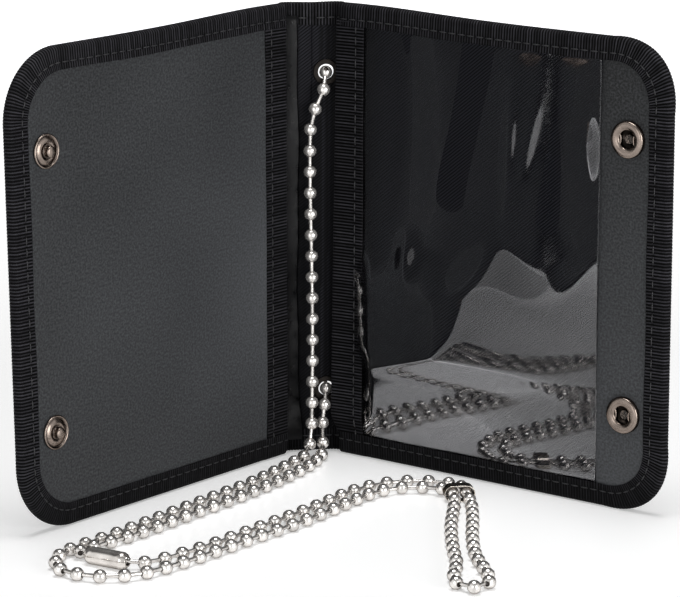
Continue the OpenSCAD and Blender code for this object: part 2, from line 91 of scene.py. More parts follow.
def put(name, vertices, faces, material, uv=None, normals=None):
    """A smooth mesh object. uv holds a pair for each vertex, in millimetres along the surface."""
    mesh = bpy.data.meshes.new(name)
    mesh.from_pydata(vertices.reshape(-1, 3).tolist(), [], faces)
    mesh.polygons.foreach_set("use_smooth", np.ones(len(mesh.polygons), bool))
    if uv is not None:
        corner = np.zeros(len(mesh.loops), np.int32)
        mesh.loops.foreach_get("vertex_index", corner)
        layer = mesh.uv_layers.new(name="surface")
        layer.data.foreach_set("uv", uv.reshape(-1, 2)[corner].astype(np.float32).ravel())
    mesh.update()
    if normals is not None:
        mesh.normals_split_custom_set_from_vertices(normals.reshape(-1, 3).tolist())
    mesh.materials.append(material)
    return show(name, mesh)


def mark(piece, name, values):
    """Keeps a value for each of a piece's points, for its material."""
    piece.data.attributes.new(name, "FLOAT", "POINT").data.foreach_set("value", np.ravel(values))


def outwards(vertices, quads, caps=()):
    """The faces, all turned round if the solid that they close has a negative volume: the sum
    over its faces of a corner's product with the cross product of the face's diagonals."""
    a, b, c, d = (vertices[quads[:, i]] for i in range(4))
    volume = (a * np.cross(c - a, d - b)).sum()
    for cap in caps:
        p = vertices[cap]
        volume += (p[0] * np.cross(p[1:-1] - p[0], p[2:] - p[0]).sum(0)).sum()
    faces = quads.tolist() + [list(cap) for cap in caps]
    return [face[::-1] for face in faces] if volume < 0 else faces


def ring_faces(shape, first=0, closed=False):
    """Quads and end caps of solids made of rings of points, solids x rings x points, numbered from
    first. Each point is joined to the next on its ring and on the ring after it, and the last ring
    of a closed solid to its first."""
    index = first + np.arange(math.prod(shape)).reshape(shape)
    if closed:
        index = np.concatenate([index, index[:, :1]], axis=1)
    beside = np.roll(index, -1, axis=2)
    quads = np.stack([index[:, :-1], beside[:, :-1], beside[:, 1:], index[:, 1:]], -1)
    caps = [] if closed else np.concatenate([index[:, 0, ::-1], index[:, -1]]).tolist()
    return quads.reshape(-1, 4), caps


def ring_solid(name, rings, material, uv=None, closed=False):
    """Closed solids from rings of points, an array of solids x rings x points x 3."""
    faces = outwards(rings.reshape(-1, 3), *ring_faces(rings.shape[:3], closed=closed))
    return put(name, rings, faces, material, uv)


def slab_solid(name, top, bottom, material, uv, keep=None):
    """A closed sheet from the grids of points of its two faces. Quads where keep is false are
    left out, and a wall joins the faces wherever a quad has no neighbour."""
    rows, columns = top.shape[:2]
    index, below = np.arange(rows * columns).reshape(rows, columns), rows * columns
    keep = np.ones((rows - 1, columns - 1), bool) if keep is None else keep
    upper = np.stack([index[:-1, :-1], index[1:, :-1], index[1:, 1:], index[:-1, 1:]], -1)[keep]
    solid = np.pad(keep, 1)
    row, column = solid[:, 1:-1], solid[1:-1]
    near_row, far_row = index[:, :-1], index[:, 1:]
    near_column, far_column = index[:-1], index[1:]
    edges = []
    for inside, a, b in (
        (row[1:] & ~row[:-1], near_row, far_row), (row[:-1] & ~row[1:], far_row, near_row),
        (column[:, 1:] & ~column[:, :-1], far_column, near_column),
        (column[:, :-1] & ~column[:, 1:], near_column, far_column),
    ):
        edges.append(np.stack([a[inside], b[inside], b[inside] + below, a[inside] + below], -1))
    quads = np.concatenate([upper, upper[:, ::-1] + below] + edges)
    used, quads = np.unique(quads, return_inverse=True)
    quads = quads.reshape(-1, 4)
    points = np.concatenate([top.reshape(-1, 3), bottom.reshape(-1, 3)])[used]
    flat = np.concatenate([uv.reshape(-1, 2), uv.reshape(-1, 2)])[used]
    return put(name, points, outwards(points, quads), material, flat)


def soft_step(x):
    """0 up to x = 0, 1 from x = 1, and 3x² - 2x³ between them."""
    x = np.clip(x, 0, 1)
    return x * x * (3 - 2 * x)


def bump(x, middle, width):
    """A bell of height 1 about its middle: e to the minus square of (x - middle) / width."""
    return np.exp(-(((x - middle) / width) ** 2))


# Materials

def linear(colour):
    """A colour written as sRGB hex, as linear red, green, blue and an alpha of 1."""
    parts = [int(colour[i:i + 2], 16) / 255 for i in (1, 3, 5)]
    return [c / 12.92 if c <= 0.04045 else ((c + 0.055) / 1.055) ** 2.4 for c in parts] + [1.0]


def add(tree, kind, inputs=None, **settings):
    """Adds a node. Each of inputs is a value for that socket, or the socket that feeds it."""
    node = tree.nodes.new("ShaderNode" + kind)
    for name, value in settings.items():
        setattr(node, name, value)
    for socket, value in (inputs or {}).items():
        if isinstance(value, bpy.types.NodeSocket):
            tree.links.new(value, node.inputs[socket])
        else:
            node.inputs[socket].default_value = value
    return node


def new_material(name, **plain):
    """A material with a Principled shader, its plain sockets set. Returns it and its tree."""
    material = bpy.data.materials.new(name)
    material.use_nodes = True
    shader = material.node_tree.nodes["Principled BSDF"]
    for socket, value in plain.items():
        shader.inputs[socket.replace("_", " ")].default_value = value
    return material, material.node_tree, shader


def two_colours(tree, factor, low, high):
    """A colour between two hex colours, by a factor from 0 to 1."""
    mix = add(tree, "Mix", {"Factor": factor}, data_type="RGBA")
    mix.inputs[6].default_value, mix.inputs[7].default_value = linear(low), linear(high)
    return mix.outputs[2]


def math_node(tree, operation, a, b=0.0, c=0.0):
    """The result of a sum on sockets or numbers."""
    return add(tree, "Math", {0: a, 1: b, 2: c}, operation=operation).outputs[0]


def times(tree, a, b):
    """The product of two sockets or numbers."""
    return math_node(tree, "MULTIPLY", a, b)


def noise(tree, place, scale, detail=3.0):
    """The value of a noise texture."""
    return add(tree, "TexNoise", {"Vector": place, "Scale": scale, "Detail": detail}).outputs[0]


def bands(tree, place, scale, direction="X", **more):
    """The value of a texture of even waves."""
    return add(tree, "TexWave", {"Vector": place, "Scale": scale, **more},
               bands_direction=direction).outputs["Fac"]


def attribute(tree, name):
    """The value that a piece's points keep under a name."""
    return add(tree, "Attribute", attribute_name=name).outputs["Fac"]


def span(tree, value, low, high, to_low=0.0, to_high=1.0):
    """value carried from the range low to high to the range to_low to to_high, and held there."""
    ends = {"From Min": low, "From Max": high, "To Min": to_low, "To Max": to_high}
    return add(tree, "MapRange", {"Value": value, **ends}).outputs[0]


def feed(tree, shader, colour=None, roughness=None, height=None, strength=0.3, depth=1.0 * MM):
    """Feeds the shader's colour and roughness, and its normal by a bump of that height."""
    if colour is not None:
        tree.links.new(colour, shader.inputs["Base Color"])
    if roughness is not None:
        tree.links.new(roughness, shader.inputs["Roughness"])
    if height is not None:
        relief = add(tree, "Bump", {"Strength": strength, "Distance": depth, "Height": height})
        tree.links.new(relief.outputs[0], shader.inputs["Normal"])


def surface_mm(tree):
    """The piece's own surface coordinates, in millimetres."""
    return add(tree, "UVMap", uv_map="surface").outputs[0]


def coated_cloth():
    """Polyurethane coated nylon, embossed with a fine leather grain: dull, with grains about
    0.4 mm across that catch the light as pale specks, and faint clouds from handling."""
    material, tree, shader = new_material("grained_pu_cloth", Specular_IOR_Level=0.25)
    place = surface_mm(tree)
    grain = add(tree, "TexVoronoi", {"Vector": place, "Scale": 2.4}, feature="SMOOTH_F1").outputs[0]
    speck, cloud = noise(tree, place, 1.7), noise(tree, place, 0.03, 1.0)
    # Painted light and shade from each point's painted light value, plus random clouds of tone.
    painted_light_and_tone = math_node(tree, "ADD", attribute(tree, "rub"), span(tree, cloud, 0.3, 0.7, -0.1, 0.1))
    shade = math_node(tree, "MULTIPLY_ADD", span(tree, speck, 0.38, 0.66), 0.42,
                      times(tree, painted_light_and_tone, 0.5))
    feed(tree, shader, two_colours(tree, shade, "#161718", "#545659"),
         span(tree, cloud, 0.3, 0.7, 0.5, 0.66), math_node(tree, "ADD", grain, speck), 0.35,
         0.12 * MM)
    return material


def ribbed_tape():
    """Grosgrain ribbon of nylon. Its ribs are in the mesh, 0.83 mm apart. The top of each rib is
    painted pale, a painted highlight for its silky shine, and the gaps are painted black as painted
    shade, with filaments 0.2 mm apart along the ribs."""
    material, tree, shader = new_material("nylon_grosgrain", Specular_IOR_Level=0.08)
    place = surface_mm(tree)
    crest = attribute(tree, "crest")
    tone = times(tree, crest, span(tree, noise(tree, place, 0.5), 0.3, 0.7, 0.6, 1))
    feed(tree, shader, two_colours(tree, tone, "#000000", "#414045"),
         span(tree, crest, 0, 1, 0.8, 0.45), bands(tree, place, 1.6, Distortion=1.2, Detail=2.0),
         0.3, 0.05 * MM)
    return material


def twill():
    """Nylon lining in a twill weave: diagonal wales 0.7 mm apart, broken by the crossing threads,
    soft and a little shiny on the wales. Each point's painted light value pales it, and low values
    paint shade."""
    material, tree, shader = new_material("nylon_twill", Specular_IOR_Level=0.07)
    place = surface_mm(tree)
    turned = add(tree, "Mapping", {"Vector": place, "Rotation": (0, 0, math.radians(52))})
    wale = bands(tree, turned.outputs[0], 0.45, Distortion=0.4, Detail=1.0)
    pattern = times(tree, wale, span(tree, bands(tree, place, 0.9, "Y"), 0, 1, 0.6, 1))
    # Painted light: where the value is low the weave is painted darker, as painted shade.
    tone = times(tree, pattern, span(tree, attribute(tree, "rub"), 0, 1, 0.12, 1))
    feed(tree, shader, two_colours(tree, tone, "#010102", "#414149"),
         span(tree, pattern, 0, 1, 0.62, 0.42), pattern, 0.5, 0.1 * MM)
    return material


def oxford_cloth():
    """Coated nylon oxford of the outside: a plain weave of doubled threads, 0.9 mm a repeat, dull
    with a faint shine on the crowns."""
    material, tree, shader = new_material("nylon_oxford", Specular_IOR_Level=0.25)
    place = surface_mm(tree)
    over = math_node(tree, "ABSOLUTE", math_node(
        tree, "SUBTRACT", bands(tree, place, 0.35), bands(tree, place, 0.35, "Y")))
    tone = times(tree, over, span(tree, noise(tree, place, 0.05), 0.3, 0.7, 0.6, 1))
    feed(tree, shader, two_colours(tree, tone, "#070708", "#2c2c30"),
         span(tree, over, 0, 1, 0.7, 0.5), over, 0.5, 0.12 * MM)
    return material


def clear_vinyl():
    """Soft clear PVC film: nearly colourless, glossy on its own gentle waves, with a faint haze of
    rubbing marks. It mirrors more at a flat angle, as Fresnel says."""
    material, tree, shader = new_material("clear_pvc", Base_Color=linear("#e2e2e3"), Metallic=1.0)
    haze = noise(tree, surface_mm(tree), 0.4, 4.0)
    feed(tree, shader, None, span(tree, haze, 0.3, 0.8, 0.02, 0.07))
    clear = add(tree, "BsdfTransparent", {"Color": linear("#eeeeef")})
    share = times(tree, add(tree, "Fresnel", {"IOR": 1.62}).outputs[0], 0.66)
    mixed = add(tree, "MixShader", {0: share, 1: clear.outputs[0], 2: shader.outputs[0]})
    tree.links.new(mixed.outputs[0], tree.nodes["Material Output"].inputs["Surface"])
    return material


def glossy_vinyl():
    """Calendered PVC sheet of the divider: smooth, near black, with a slight orange peel."""
    material, tree, shader = new_material("calendered_pvc", Specular_IOR_Level=0.12)
    peel = noise(tree, surface_mm(tree), 0.5)
    feed(tree, shader, two_colours(tree, peel, "#020203", "#0a0a0c"),
         span(tree, peel, 0.3, 0.7, 0.25, 0.4), peel, 0.2, 0.3 * MM)
    return material


def greyboard():
    """Stiffener of pressed waste paper: grey-brown, dull, flecked with fibres."""
    material, tree, shader = new_material("greyboard", IOR=1.45, Roughness=0.9)
    fibre = noise(tree, add(tree, "TexCoord").outputs["Object"], 900.0, 4.0)
    feed(tree, shader, two_colours(tree, fibre, "#6f6a60", "#a09a8c"), None, fibre, 0.3, 0.1 * MM)
    return material


def plated(name, dark, light, low, high, rim="#ffffff", grain=500.0, lined=False, bloom=0.0):
    """Nickel plate over stamped brass or steel: a clear mirror with faint clouds from handling,
    darker by shade in the low places: painted shade in grooves, holes and insides. lined adds the
    fine drawing marks of formed sheet, bloom is the share of light that a tumbled plate scatters,
    and rim the tint of its tarnish at a flat angle."""
    material, tree, shader = new_material(name, Metallic=1.0 - bloom, Specular_Tint=linear(rim))
    place = add(tree, "TexCoord").outputs["Object"]
    if lined:
        place = add(tree, "Mapping", {"Vector": place, "Scale": (0.15, 1.0, 1.0)}).outputs[0]
    cloud = noise(tree, place, grain)
    tone = math_node(tree, "SUBTRACT", span(tree, cloud, 0.3, 0.7, 0.6, 1),
                     attribute(tree, "shade"))
    feed(tree, shader, two_colours(tree, tone, dark, light), span(tree, cloud, 0.3, 0.7, low, high),
         cloud, 0.12, 0.05 * MM)
    return material


def chain_nickel():
    """The chain's plate, with painted light: at a flat angle it is painted darker on the stretches
    that lie on the table, and brighter, with more scattered light, on the hanging ones."""
    material = plated("bright_nickel_on_steel", "#3a3633", "#f6f2ee", 0.14, 0.24)
    tree = material.node_tree
    shader, hung = tree.nodes["Principled BSDF"], attribute(tree, "hung")
    tree.links.new(two_colours(tree, hung, "#5e5751", "#b0a9a2"), shader.inputs["Specular Tint"])
    tree.links.new(span(tree, hung, 0, 1, 0.88, 0.72), shader.inputs["Metallic"])
    return material


def thread():
    """Bonded polyester sewing thread: black, with a waxy shine on its twist."""
    material, tree, shader = new_material("polyester_thread", IOR=1.53)
    twist = bands(tree, surface_mm(tree), 1.2, "DIAGONAL")
    feed(tree, shader, two_colours(tree, twist, "#040405", "#1c1c20"),
         span(tree, twist, 0, 1, 0.6, 0.4), twist, 0.4, 0.08 * MM)
    return material


PANEL_CLOTH = coated_cloth()
TAPE = ribbed_tape()
LINING = twill()
COVER = oxford_cloth()
CLEAR = clear_vinyl()
DIVIDER = glossy_vinyl()
BOARD = greyboard()
THREAD = thread()
CHAIN_NICKEL = chain_nickel()
COUPLING_NICKEL = plated("polished_nickel", "#6a6058", "#f6f1ec", 0.07, 0.16, "#5c5650", 300.0, True,
                         bloom=0.12)
DARK_NICKEL = plated("dark_nickel_on_brass", "#14110f", "#93867d", 0.16, 0.3, "#4a403a")
BLACK_NICKEL = plated("black_nickel_on_brass", "#080707", "#2b2826", 0.4, 0.55, "#1c1a18")
FORMED_NICKEL = plated("nickel_on_formed_steel", "#4a4038", "#dcd5cc", 0.14, 0.3, "#4a4440",
                       700.0, True)


# Places on the wallet

TWIST, TWIST_FROM, TWIST_OVER = math.radians(1.05), 20 * MM, 80 * MM
TOP_RISE, CORNER_PUSH = 1.2 * MM, 2.3 * MM


def settled(side, u, z):
    """Where use has left a point u from the fold and z up: the top edge stands a little higher
    near the spine, and the right leaf's corners are squarer, pushed out along the diagonal."""
    z = z + TOP_RISE * (z / LEAF_H) * bump(u, 8 * MM, 30 * MM)
    if side == RIGHT:
        p = np.clip((u - LEAF_W + CORNER_R) / CORNER_R, 0, 1)
        q = np.clip((np.abs(z - LEAF_H / 2) - LEAF_H / 2 + CORNER_R) / CORNER_R, 0, 1)
        push = CORNER_PUSH * p * q
        u, z = u + push, z + push * np.sign(z - LEAF_H / 2)
    return u, z


def placed(side, x, y, z, share):
    """Points of a half in the shared frame. The left leaf is not quite flat: above TWIST_FROM it
    leans back about its fold, by TWIST for each TWIST_OVER of height, times the share."""
    turn = share * TWIST * np.maximum(z - TWIST_FROM, 0) / TWIST_OVER if side == LEFT else 0 * z
    dx, dy = x - FOLD_X, y - FOLD_Y
    x = FOLD_X + dx * np.cos(turn) - dy * np.sin(turn)
    y = FOLD_Y + dx * np.sin(turn) + dy * np.cos(turn)
    return np.stack([side * x, y + SHIFT_Y, z], -1)


def on_leaf(side, u, z, v):
    """Points of a leaf. The right leaf's fold is at (FOLD_X, FOLD_Y), u runs from there along
    (cos LEAN, -sin LEAN) and v along (-sin LEAN, -cos LEAN). The left leaf is its mirror."""
    u, z, v = np.broadcast_arrays(u, z, v)
    u, z = settled(side, u, z)
    x = FOLD_X + u * math.cos(LEAN) - v * math.sin(LEAN)
    y = FOLD_Y - u * math.sin(LEAN) - v * math.cos(LEAN)
    return placed(side, x, y, z, 1.0)


def on_wallet(side, a, z, v):
    """Points of a sheet at distance a from the middle of the spine: straight as far as
    FLAT_HALF, then on a circle about the fold's centre whose radius is FOLD_R less the layer v,
    and from FOLD_A on as points of the leaf."""
    a, z, v = np.broadcast_arrays(a, z, v)
    turn = np.clip((a - FLAT_HALF) / FOLD_R, 0, LEAN)
    x = np.minimum(a, FLAT_HALF) + (FOLD_R - v) * np.sin(turn)
    y = (FOLD_R - v) * np.cos(turn) - FOLD_R
    curved = placed(side, x, y, settled(side, a - FOLD_A, z)[1],
                    soft_step((a - FLAT_HALF) / (FOLD_A - FLAT_HALF)))
    return np.where((a > FOLD_A)[..., None], on_leaf(side, a - FOLD_A, z, v), curved)


RIM_SHARE, SOFT_IN = 0.78, 7.5 * MM
MIDDLE = (V_FACE + V_OUT) / 2


def edge_gap(u, z):
    """Distance of a leaf's point from its outline: CORNER_R less the distance to the nearest
    point of the leaf drawn in by CORNER_R."""
    across = np.maximum(u - (LEAF_W - CORNER_R), 0)
    along = np.maximum(CORNER_R - np.minimum(z, LEAF_H - z), 0)
    return CORNER_R - np.hypot(across, along)


def rim_squeeze(gap):
    """How far the sewn rim presses the layers together: RIM_SHARE at the outline and 1 from
    SOFT_IN inwards, with a soft step between."""
    return RIM_SHARE + (1 - RIM_SHARE) * soft_step(gap / SOFT_IN)


def pressed(u, z, v):
    """Layer v of a leaf after its rim is sewn: the middle layer plus the squeezed rest."""
    return MIDDLE + (v - MIDDLE) * rim_squeeze(edge_gap(u, z))


def leaf_grid(u, rows, inset):
    """Grid of u and z over a leaf drawn in by inset: at each u the heights between the outline's
    two sides, which come together on the corner circles as R less the root of r² - d²."""
    reach = np.clip(u - (LEAF_W - CORNER_R), 0, CORNER_R - inset)
    low = np.where(reach > 0, CORNER_R - np.sqrt((CORNER_R - inset) ** 2 - reach ** 2), inset)
    z = low[:, None] + rows[None] * (LEAF_H - 2 * low)[:, None]
    return np.broadcast_to(u[:, None], z.shape), z


def corner_steps(start, inset, count=22):
    """Values of u from start to the outer edge, close together where the corners turn."""
    bend = np.linspace(0, math.pi / 2, count)
    tail = LEAF_W - CORNER_R + (CORNER_R - inset) * np.sin(bend)
    return np.concatenate([np.arange(start, tail[0] - 1 * MM, 1.8 * MM), tail])


def pair(a, b):
    """Surface coordinates in millimetres from two arrays."""
    return np.stack(np.broadcast_arrays(a, b), -1) / MM


ROWS = np.linspace(0, 1, 70)
EYELET_ROWS = np.unique(np.concatenate(
    [ROWS] + [np.arange(z - 4.4 * MM, z + 3.6 * MM, 0.4 * MM) / LEAF_H for z in EYELET_Z]))


# The camera of the photograph

def add_camera():
    """A long lens 0.85 m in front of the wallet, a little to its left and above it."""
    camera = show("camera", bpy.data.cameras.new("camera"))
    camera.data.sensor_width, camera.data.lens = 36, 185.7
    camera.location = (-0.1014, -0.8666, 0.2467)
    camera.rotation_euler = (math.radians(77.294), 0, math.radians(-6.872))
    bpy.context.scene.camera = camera


add_camera()


# The ball chain, one route that runs from the coupling through both eyelets and back to it

# Points in mm, before SHIFT_Y. Where one has no height, a ball lies on the table, at LAID_Z
LAID_Z = 1.6
ROUTES = {
    "front": [
        (-63.6, -98, 2.2), (-66.6, -93.6, 1.9), (-62.6, -88.6), (-56, -83.2), (-50, -77.4),
        (-42, -68.8), (-34, -60), (-26, -51.6), (-18, -42.4), (-10, -32.2), (-3.5, -22.6), (0.2, -15),
        (1.8, -9.6, 2.2), (2.2, -6, 4.6), (2.4, -3.8, 8.4)],
    "lower": [
        (2.4, -3.8, 8.4), (2.9, -3.5, 12.9), (3.8, -0.1, 16.85)],
    "behind": [
        (3.8, -0.1, 16.85), (3.8, 3.8, 21), (3.8, 3.2, 26.5), (3.7, 2.6, 40), (3.6, 2.5, 60),
        (3.7, 2.6, 80), (3.8, 3.2, 93), (3.8, 3.8, 98.5), (3.8, -0.1, 102.35)],
    "inside": [
        (3.8, -0.1, 102.35), (2.9, -3.7, 98.6), (0.9, -3.7, 94), (-0.6, -3.5, 88.5), (-0.8, -3.5, 76),
        (-0.6, -3.9, 60), (-0.4, -4.4, 45), (-0.4, -5, 30), (-0.6, -5.8, 18), (-0.8, -6.5, 9)],
    "back": [
        (-0.8, -6.5, 9), (-1.4, -8.2, 4.2), (-2.8, -11.4, 1.9), (-5, -15.2), (-12, -25.8), (-20, -36.8),
        (-28, -46), (-36, -55), (-44, -64), (-52, -73.2), (-60, -81.8), (-67, -88.6), (-71.2, -94.2),
        (-72.8, -101)],
    "outer_left": [
        (-72.8, -101), (-71.8, -107), (-67.6, -111.4), (-62, -113.6), (-56.5, -113.4), (-51, -111.2),
        (-45, -106.6), (-38, -100.3), (-30, -92.4), (-21.5, -84), (-13, -76), (-6, -68.4),
        (-1.7, -63.6)],
    "outer_right": [
        (-1.7, -63.6), (4, -56.8), (8.5, -51.6), (13, -48), (18, -46.2), (22.6, -46.4),
        (26.6, -48, 1.8), (29.2, -51, 2.2), (29.8, -54, 2.2)],
    "loop": [
        (29.8, -54, 2.2), (29.6, -59, 1.9), (28.8, -64), (27.2, -72), (25.6, -80), (24.4, -88),
        (23.4, -96), (22.6, -104), (22, -112), (20.6, -119.5), (19.2, -126), (20.6, -131), (24.6, -132),
        (27.4, -128), (27.8, -121), (27.4, -112), (27.6, -104), (28.5, -96), (29.6, -88), (31, -80),
        (32.2, -72), (33.2, -64), (33.4, -59, 1.9), (33.4, -54, 2.2)],
    "inner_right": [
        (33.4, -54, 2.2), (33.2, -49.4, 2.2), (31.4, -44.6, 1.8), (26.8, -41.4), (21, -40.2),
        (15, -41.2), (10, -43.8), (5, -47.8), (1.7, -51.4)],
    "inner_left": [
        (1.7, -51.4), (-4, -58.4), (-11, -66.2), (-19, -74.6), (-28, -84), (-36, -92), (-42.5, -97.6),
        (-47.6, -101.6), (-52.2, -104, 1.8), (-57.4, -103, 2.2)],
}


def smooth_line(route):
    """Catmull-Rom curve, eight steps from each point b to the next, c, with a before and d after
    them: half of 2b + (c - a)t + (2a - 5b + 4c - d)t² + (3b - a - 3c + d)t³."""
    padded = np.concatenate([route[:1], route, route[-1:]])
    a, b, c, d = (padded[i:len(padded) - 3 + i, None] for i in range(4))
    t = (np.arange(8) / 8)[None, :, None]
    curve = (2 * b + (c - a) * t + (2 * a - 5 * b + 4 * c - d) * t ** 2
             + (3 * b - a - 3 * c + d) * t ** 3) / 2
    return np.concatenate([curve.reshape(-1, 3), route[-1:]])


def balls_on(name):
    """Centres of the balls on a route, evenly spaced along its smooth line, none of them lower
    than a ball that lies on the floor."""
    route = np.array([(*point, LAID_Z)[:3] for point in ROUTES[name]])
    line = smooth_line(route * MM + np.array([0, SHIFT_Y, 0]))
    run = np.concatenate([[0], np.cumsum(np.linalg.norm(np.diff(line, axis=0), axis=1))])
    at = np.linspace(0, run[-1], round(run[-1] / BALL_PITCH) + 1)
    places = np.stack([np.interp(at, run, line[:, k]) for k in range(3)], -1)
    places[:, 2] = np.maximum(places[:, 2], BEAD_R)
    return places


def chain_places(*names):
    """Centres of the balls on several routes that follow each other."""
    parts = [balls_on(name) for name in names]
    return np.concatenate([part[:-1] for part in parts[:-1]] + [parts[-1]])


def frames_along(direction):
    """Two unit vectors across each direction, the first as level as can be."""
    forward = direction / np.linalg.norm(direction, axis=-1, keepdims=True)
    upright = np.abs(forward[..., 2:]) > 0.9
    across = np.cross(np.where(upright, [0.0, 1.0, 0.0], [0.0, 0.0, 1.0]), forward)
    across /= np.linalg.norm(across, axis=-1, keepdims=True)
    return across, np.cross(forward, across), forward


def turned_rings(places, frames, distance, radius, points):
    """Rings about each place: the place plus distance along its forward vector, plus the radius
    times the cosine and sine of points angles across it."""
    angle = (np.arange(points) / points * 2 * math.pi)[:, None]
    across, above, forward = (f[:, None, None] for f in frames)
    return (places[:, None, None] + forward * distance[..., None, None]
            + (across * np.cos(angle) + above * np.sin(angle)) * radius[..., None, None])


def push_share(places, side):
    """How far a closing leaf takes a point of the chain on the floor with it, as a share of its
    turn. The chain has to keep PUSH_GAP from the middle of the leaf, so at distance r from the
    fold it ends at the angle -(CLOSE_OVER + asin(PUSH_GAP / r)) from straight forwards."""
    x, y = side * places[..., 0] - FOLD_X, places[..., 1] - SHIFT_Y - FOLD_Y
    away = np.maximum(np.hypot(x, y), 1.01 * PUSH_GAP)
    end = CLOSE_OVER + np.arcsin(PUSH_GAP / away)
    share = (np.arctan2(x, -y) + end) / (LEAN + CLOSE_OVER)
    low = soft_step((12 * MM - places[..., 2]) / (6 * MM))
    return np.clip(share, 0, 1) * low


PUSH_GAP, CLOSE_OVER = 5.0 * MM, math.radians(2.6)
# The balls look a little larger than in the CAD model. ROUND_UP makes up for their flat facets
BEAD_R, ROUND_UP, BEAD_AROUND = 1.7 * MM, 1.03, 12
BEAD_ANGLES = np.radians([24, 46, 68, 90, 112, 134, 156])
# Radius of the rolled rim of a ball's hole, and its distance from the ball's middle
HOLE_R, HOLE_AT = 0.6 * MM, 1.35 * MM
# A pin's thickness along it, and how far its ends are from the middles of its balls
PIN_SHAPE, PIN_END, PIN_AROUND = np.array([1.06, 1.0, 0.94, 1.0, 1.06]), 1.15 * MM, 8
PIN_STEPS = np.linspace(0, 1, len(PIN_SHAPE))


def chain_piece(name, places, leaf, own=slice(0, -1), start=None, held=()):
    """A stretch of ball chain. Each ball is a hollow sphere rolled round its two pin holes, each
    pin a wire with a waist between two balls. leaf is the side whose leaf's push shares are worked
    out for the stretch, own says which balls belong to it, and held gives single balls whose share is
    that of a rigid piece instead, as pairs of a ball's number and a share. The shares go to follow,
    which does not move the stretch."""
    ends = np.concatenate([[places[0] if start is None else start], places, [places[-1]]])
    beads = places[own]
    count = len(beads)
    frames = frames_along((ends[2:] - ends[:-2])[own])
    along = np.concatenate([[-HOLE_AT], -BEAD_R * np.cos(BEAD_ANGLES), [HOLE_AT]])
    across = np.concatenate([[HOLE_R], BEAD_R * np.sin(BEAD_ANGLES), [HOLE_R]]) * ROUND_UP
    bead = turned_rings(beads, frames, np.tile(along, (count, 1)), np.tile(across, (count, 1)),
                        BEAD_AROUND)
    gap = np.linalg.norm(np.diff(places, axis=0), axis=1)
    reach = PIN_STEPS * (gap - 2 * PIN_END)[:, None] + PIN_END
    waist = np.broadcast_to(PIN_R * PIN_SHAPE, reach.shape)
    link = frames_along(np.diff(places, axis=0))
    pin = turned_rings(places[:-1], link, reach, waist, PIN_AROUND)
    axis = places[:-1, None] + link[2][:, None] * reach[..., None]
    vertices = np.concatenate([bead.reshape(-1, 3), pin.reshape(-1, 3)])
    normals = np.concatenate([(bead - beads[:, None, None]).reshape(-1, 3),
                              (pin - axis[:, :, None]).reshape(-1, 3)])
    faces = []
    for rings, first in ((bead, 0), (pin, bead[..., 0].size)):
        faces += outwards(vertices, *ring_faces(rings.shape[:3], first))
    piece = put(name, vertices, faces, CHAIN_NICKEL,
                normals=normals / np.linalg.norm(normals, axis=1, keepdims=True))
    in_hole = np.tile(np.where(across[:, None] < 1.05 * HOLE_R, 0.9, 0.0), (count, 1, BEAD_AROUND))
    mark(piece, "shade", np.concatenate([in_hole.ravel(), np.full(pin[..., 0].size, 0.1)]))
    # Painted light: the hanging stretches are painted brighter than those on the table.
    mark(piece, "hung", soft_step((vertices[:, 2] - 4 * MM) / (6 * MM)))
    if leaf is None:
        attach(piece, "spine")
        return piece
    share = push_share(places, leaf)
    for number, value in held:
        share[number] = value
    on_pin = share[:-1, None] + np.diff(share)[:, None] * PIN_STEPS
    follow(piece, leaf, np.concatenate([np.repeat(share[own], bead[0, ..., 0].size),
                                        np.repeat(on_pin.ravel(), PIN_AROUND)]))
    return piece


def follow(piece, leaf, weight):
    """Bakes a piece's transform into its mesh; the piece is not made to bend. leaf and weight are not
    used.
    """
    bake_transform(piece)


def bend_between(piece, side, *ends):
    """Bakes a piece's transform into its mesh; the piece is not made to bend. side and ends are not
    used.
    """
    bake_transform(piece)


def over_fold(piece, side):
    """Hands cloth that covers the spine too to bend_between, with ends 1.5 mm past the spine's flat
    part and 1.2 mm past the fold; the cloth is not made to bend."""
    bend_between(piece, side, on_wallet(side, FLAT_HALF + 1.5 * MM, 0, 0),
                 on_wallet(side, FOLD_A + 1.2 * MM, 0, 0))


def fitting(name, rings, material, shade, node, leaf, weight, closed=False):
    """A metal fitting of the chain, from its rings, which hides the node it replaces.
    shade darkens its points. leaf and weight are passed to follow, which does not use them."""
    piece = ring_solid(name, rings[None], material, closed=closed)
    mark(piece, "shade", shade)
    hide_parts(node)
    follow(piece, leaf, np.full(len(piece.data.vertices), weight))
    return piece


def coupling(head, tail, weight):
    """The trough that joins the chain's ends: a tube of thin sheet whose mouth, on the side of
    the wallet, is open by an angle that grows from its ends to its middle, and whose radius
    closes in round the two balls. Each ring runs round the outside of the C and back inside."""
    tube, wall, arc = 2.2 * MM, 0.35 * MM, 22
    along = np.array([2, 3.3, 3.9, 4.6, 5.3, 5.9, 6.1]) * MM
    along = np.concatenate([-along[::-1], [0], along])
    near = np.abs(along) / along[-1]
    radius = tube * (1 - 0.42 * soft_step((near - 0.8) / 0.2))
    mouth = np.radians(68 - 48 * soft_step((near - 0.56) / 0.1))
    angle = mouth[:, None] + np.linspace(0, 1, arc)[None] * (2 * math.pi - 2 * mouth)[:, None]
    angle = np.concatenate([angle, angle[:, ::-1]], axis=1)[..., None]
    size = radius[:, None] - np.repeat([0, wall], arc)
    across, above, forward = frames_along((tail - head)[None])
    rings = ((head + tail) / 2 + forward[:, None] * along[:, None, None]
             + (across[:, None] * np.cos(angle) + above[:, None] * np.sin(angle)) * size[..., None])
    shade = np.tile(np.repeat([0.0, 0.45], arc), (len(along), 1))
    piece = fitting("coupling", rings, COUPLING_NICKEL, shade, "chain_coupling", LEFT, weight)
    piece.data.set_sharp_from_angle(angle=math.radians(35))
    return piece


SLIDE_AT = np.array([31.6, -54, 2.2]) * MM + np.array([0, SHIFT_Y, 0])


